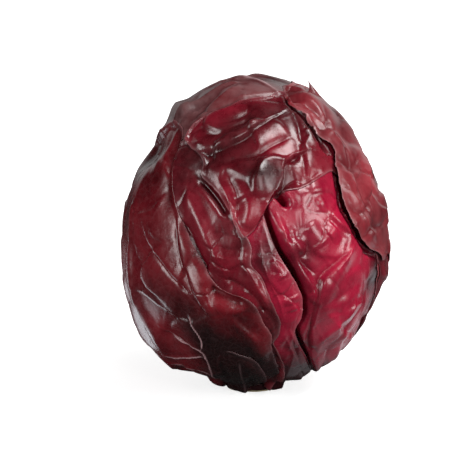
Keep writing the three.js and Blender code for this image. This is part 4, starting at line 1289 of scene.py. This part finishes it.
class CABBAGE_OT_stalk(bpy.types.Operator):
    """Make the cut stalk and its core"""

    bl_idname = "cabbage.stalk"
    bl_label = "Stalk"

    def execute(self, context):
        settings = context.scene.cabbage
        line = curve_through(stalk_profile(settings.sizes.stalk / MM), 4)
        around = np.linspace(0, 2 * math.pi, STALK_SIDES, endpoint=False)
        noise = GrainNoise(STALK_SEED)
        rings = [stalk_ring(across, up, around, noise) for across, up in line[1:-1]]
        points = np.concatenate([[[0, 0, line[0][1]]], *rings, [[0, 0, STALK_TOP - 0.1]]])
        starts = [1 + r * STALK_SIDES for r in range(len(rings))]
        faces = [face[::-1] for face in fan_faces(starts[0], 0, STALK_SIDES)]
        for lower, upper in zip(starts, starts[1:]):
            faces += loop_faces(lower, upper, STALK_SIDES)
        faces += fan_faces(starts[-1], len(points) - 1, STALK_SIDES)
        piece = mesh_object("stalk_flesh", points, faces)
        stand_for(piece, "stalk", stalk_material(settings.colours))
        return {"FINISHED"}


class CABBAGE_OT_heart(bpy.types.Operator):
    """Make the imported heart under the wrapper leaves"""

    bl_idname = "cabbage.heart"
    bl_label = "Heart"

    def execute(self, context):
        settings = context.scene.cabbage
        head = CabbageHead(settings.sizes)
        columns = HEART_COLUMNS
        hole = math.degrees(math.asin(HEART_HOLE[0] / HEART_HOLE[1]))
        lats = np.linspace(-90 + hole, 90, HEART_ROWS)
        lons = np.linspace(-180, 180, columns, endpoint=False)
        grid = np.stack(np.meshgrid(lons, lats[:-1]), -1).reshape(-1, 2)
        way = np.concatenate([directions(grid), [[0, 0, 1.0]]])
        noise = GrainNoise(HEART_SEED)
        bent = warped(way, noise, 0.08, 4, 13)
        wrinkle = np.abs(noise(bent * 5)) + 0.5 * np.abs(noise(bent * 11 + 3))
        reach = head.sunken_heart(way) - 1.6 * np.exp(-wrinkle / 0.12)
        skin = way * reach[:, None] + head.middle
        lip = skin[:columns] * [0.96, 0.96, 1]
        points = np.concatenate([skin, lip + [0, 0, 3.0], lip + [0, 0, 12.0]])
        top = len(skin) - 1
        inner, end = top + 1, top + 1 + columns
        starts = list(range(0, top, columns))
        faces = fan_faces(starts[-1], top, columns)
        for lower, upper in [*zip(starts, starts[1:]), (inner, 0), (end, inner)]:
            faces += loop_faces(lower, upper, columns)
        faces.append(tuple(range(end, end + columns)))
        # Painted shade in the heart's wrinkles: the crease mark darkens them.
        crease = np.exp(-wrinkle / 0.1)
        marks = np.stack([crease * 0, crease * 0, crease, 0.5 + 0.5 * noise(way * 3)], -1)
        marks = np.concatenate([marks, marks[:columns], marks[:columns]])
        piece = mesh_object("heart_leaves", points, faces, marks)
        stand_for(piece, "heart", leaf_finish("crimson_dark", settings.colours))
        return {"FINISHED"}


class CABBAGE_OT_leaf(bpy.types.Operator):
    """Make one wrapper leaf"""

    bl_idname = "cabbage.leaf"
    bl_label = "Wrapper leaf"

    leaf: bpy.props.EnumProperty(
        name="Leaf", description="Which wrapper leaf to make", items=[(n, n, "") for n in LEAVES])

    def execute(self, context):
        settings = context.scene.cabbage
        head = CabbageHead(settings.sizes)
        number = list(LEAVES).index(self.leaf)
        coarser = 1
        piece = leaf_mesh(head, number, settings.sizes.sectors // coarser, settings.sizes.rings // coarser)
        finish = LEAVES[self.leaf]["finish"]
        stand_for(piece, self.leaf, leaf_finish(finish, settings.colours))
        return {"FINISHED"}


class CABBAGE_OT_stage(bpy.types.Operator):
    """Make the pale floor, the soft lights and the camera"""

    bl_idname = "cabbage.stage"
    bl_label = "Stage"

    def execute(self, context):
        scene = context.scene
        lay_floor(scene)
        hang_backdrop(scene)
        light_studio(scene)
        place_camera(scene)
        return {"FINISHED"}


class CABBAGE_PT_panel(bpy.types.Panel):
    """Sizes, colours and pieces of the cabbage"""

    bl_idname = "CABBAGE_PT_panel"
    bl_label = "Cabbage"
    bl_space_type = "VIEW_3D"
    bl_region_type = "UI"
    bl_category = "Cabbage"

    def draw(self, context):
        settings = context.scene.cabbage
        for group in (settings.sizes, settings.colours):
            box = self.layout.box()
            for name in group.__annotations__:
                box.prop(group, name)
        self.layout.operator("cabbage.stalk")
        self.layout.operator("cabbage.heart")
        for name in LEAVES:
            self.layout.operator("cabbage.leaf", text=name.replace("_", " ")).leaf = name
        self.layout.operator("cabbage.stage")


CLASSES = (
    HeadSizes, HeadColours, CabbageSettings, CABBAGE_OT_stalk, CABBAGE_OT_heart, CABBAGE_OT_leaf,
    CABBAGE_OT_stage, CABBAGE_PT_panel,
)


def register():
    for kind in CLASSES:
        bpy.utils.register_class(kind)
    bpy.types.Scene.cabbage = bpy.props.PointerProperty(type=CabbageSettings)


def unregister():
    del bpy.types.Scene.cabbage
    for kind in reversed(CLASSES):
        bpy.utils.unregister_class(kind)


def main():
    """Makes the stage and every piece."""
    register()
    bpy.ops.cabbage.stage()
    bpy.ops.cabbage.stalk()
    bpy.ops.cabbage.heart()
    for name in LEAVES:
        bpy.ops.cabbage.leaf(leaf=name)


if __name__ == "__main__":
    main()
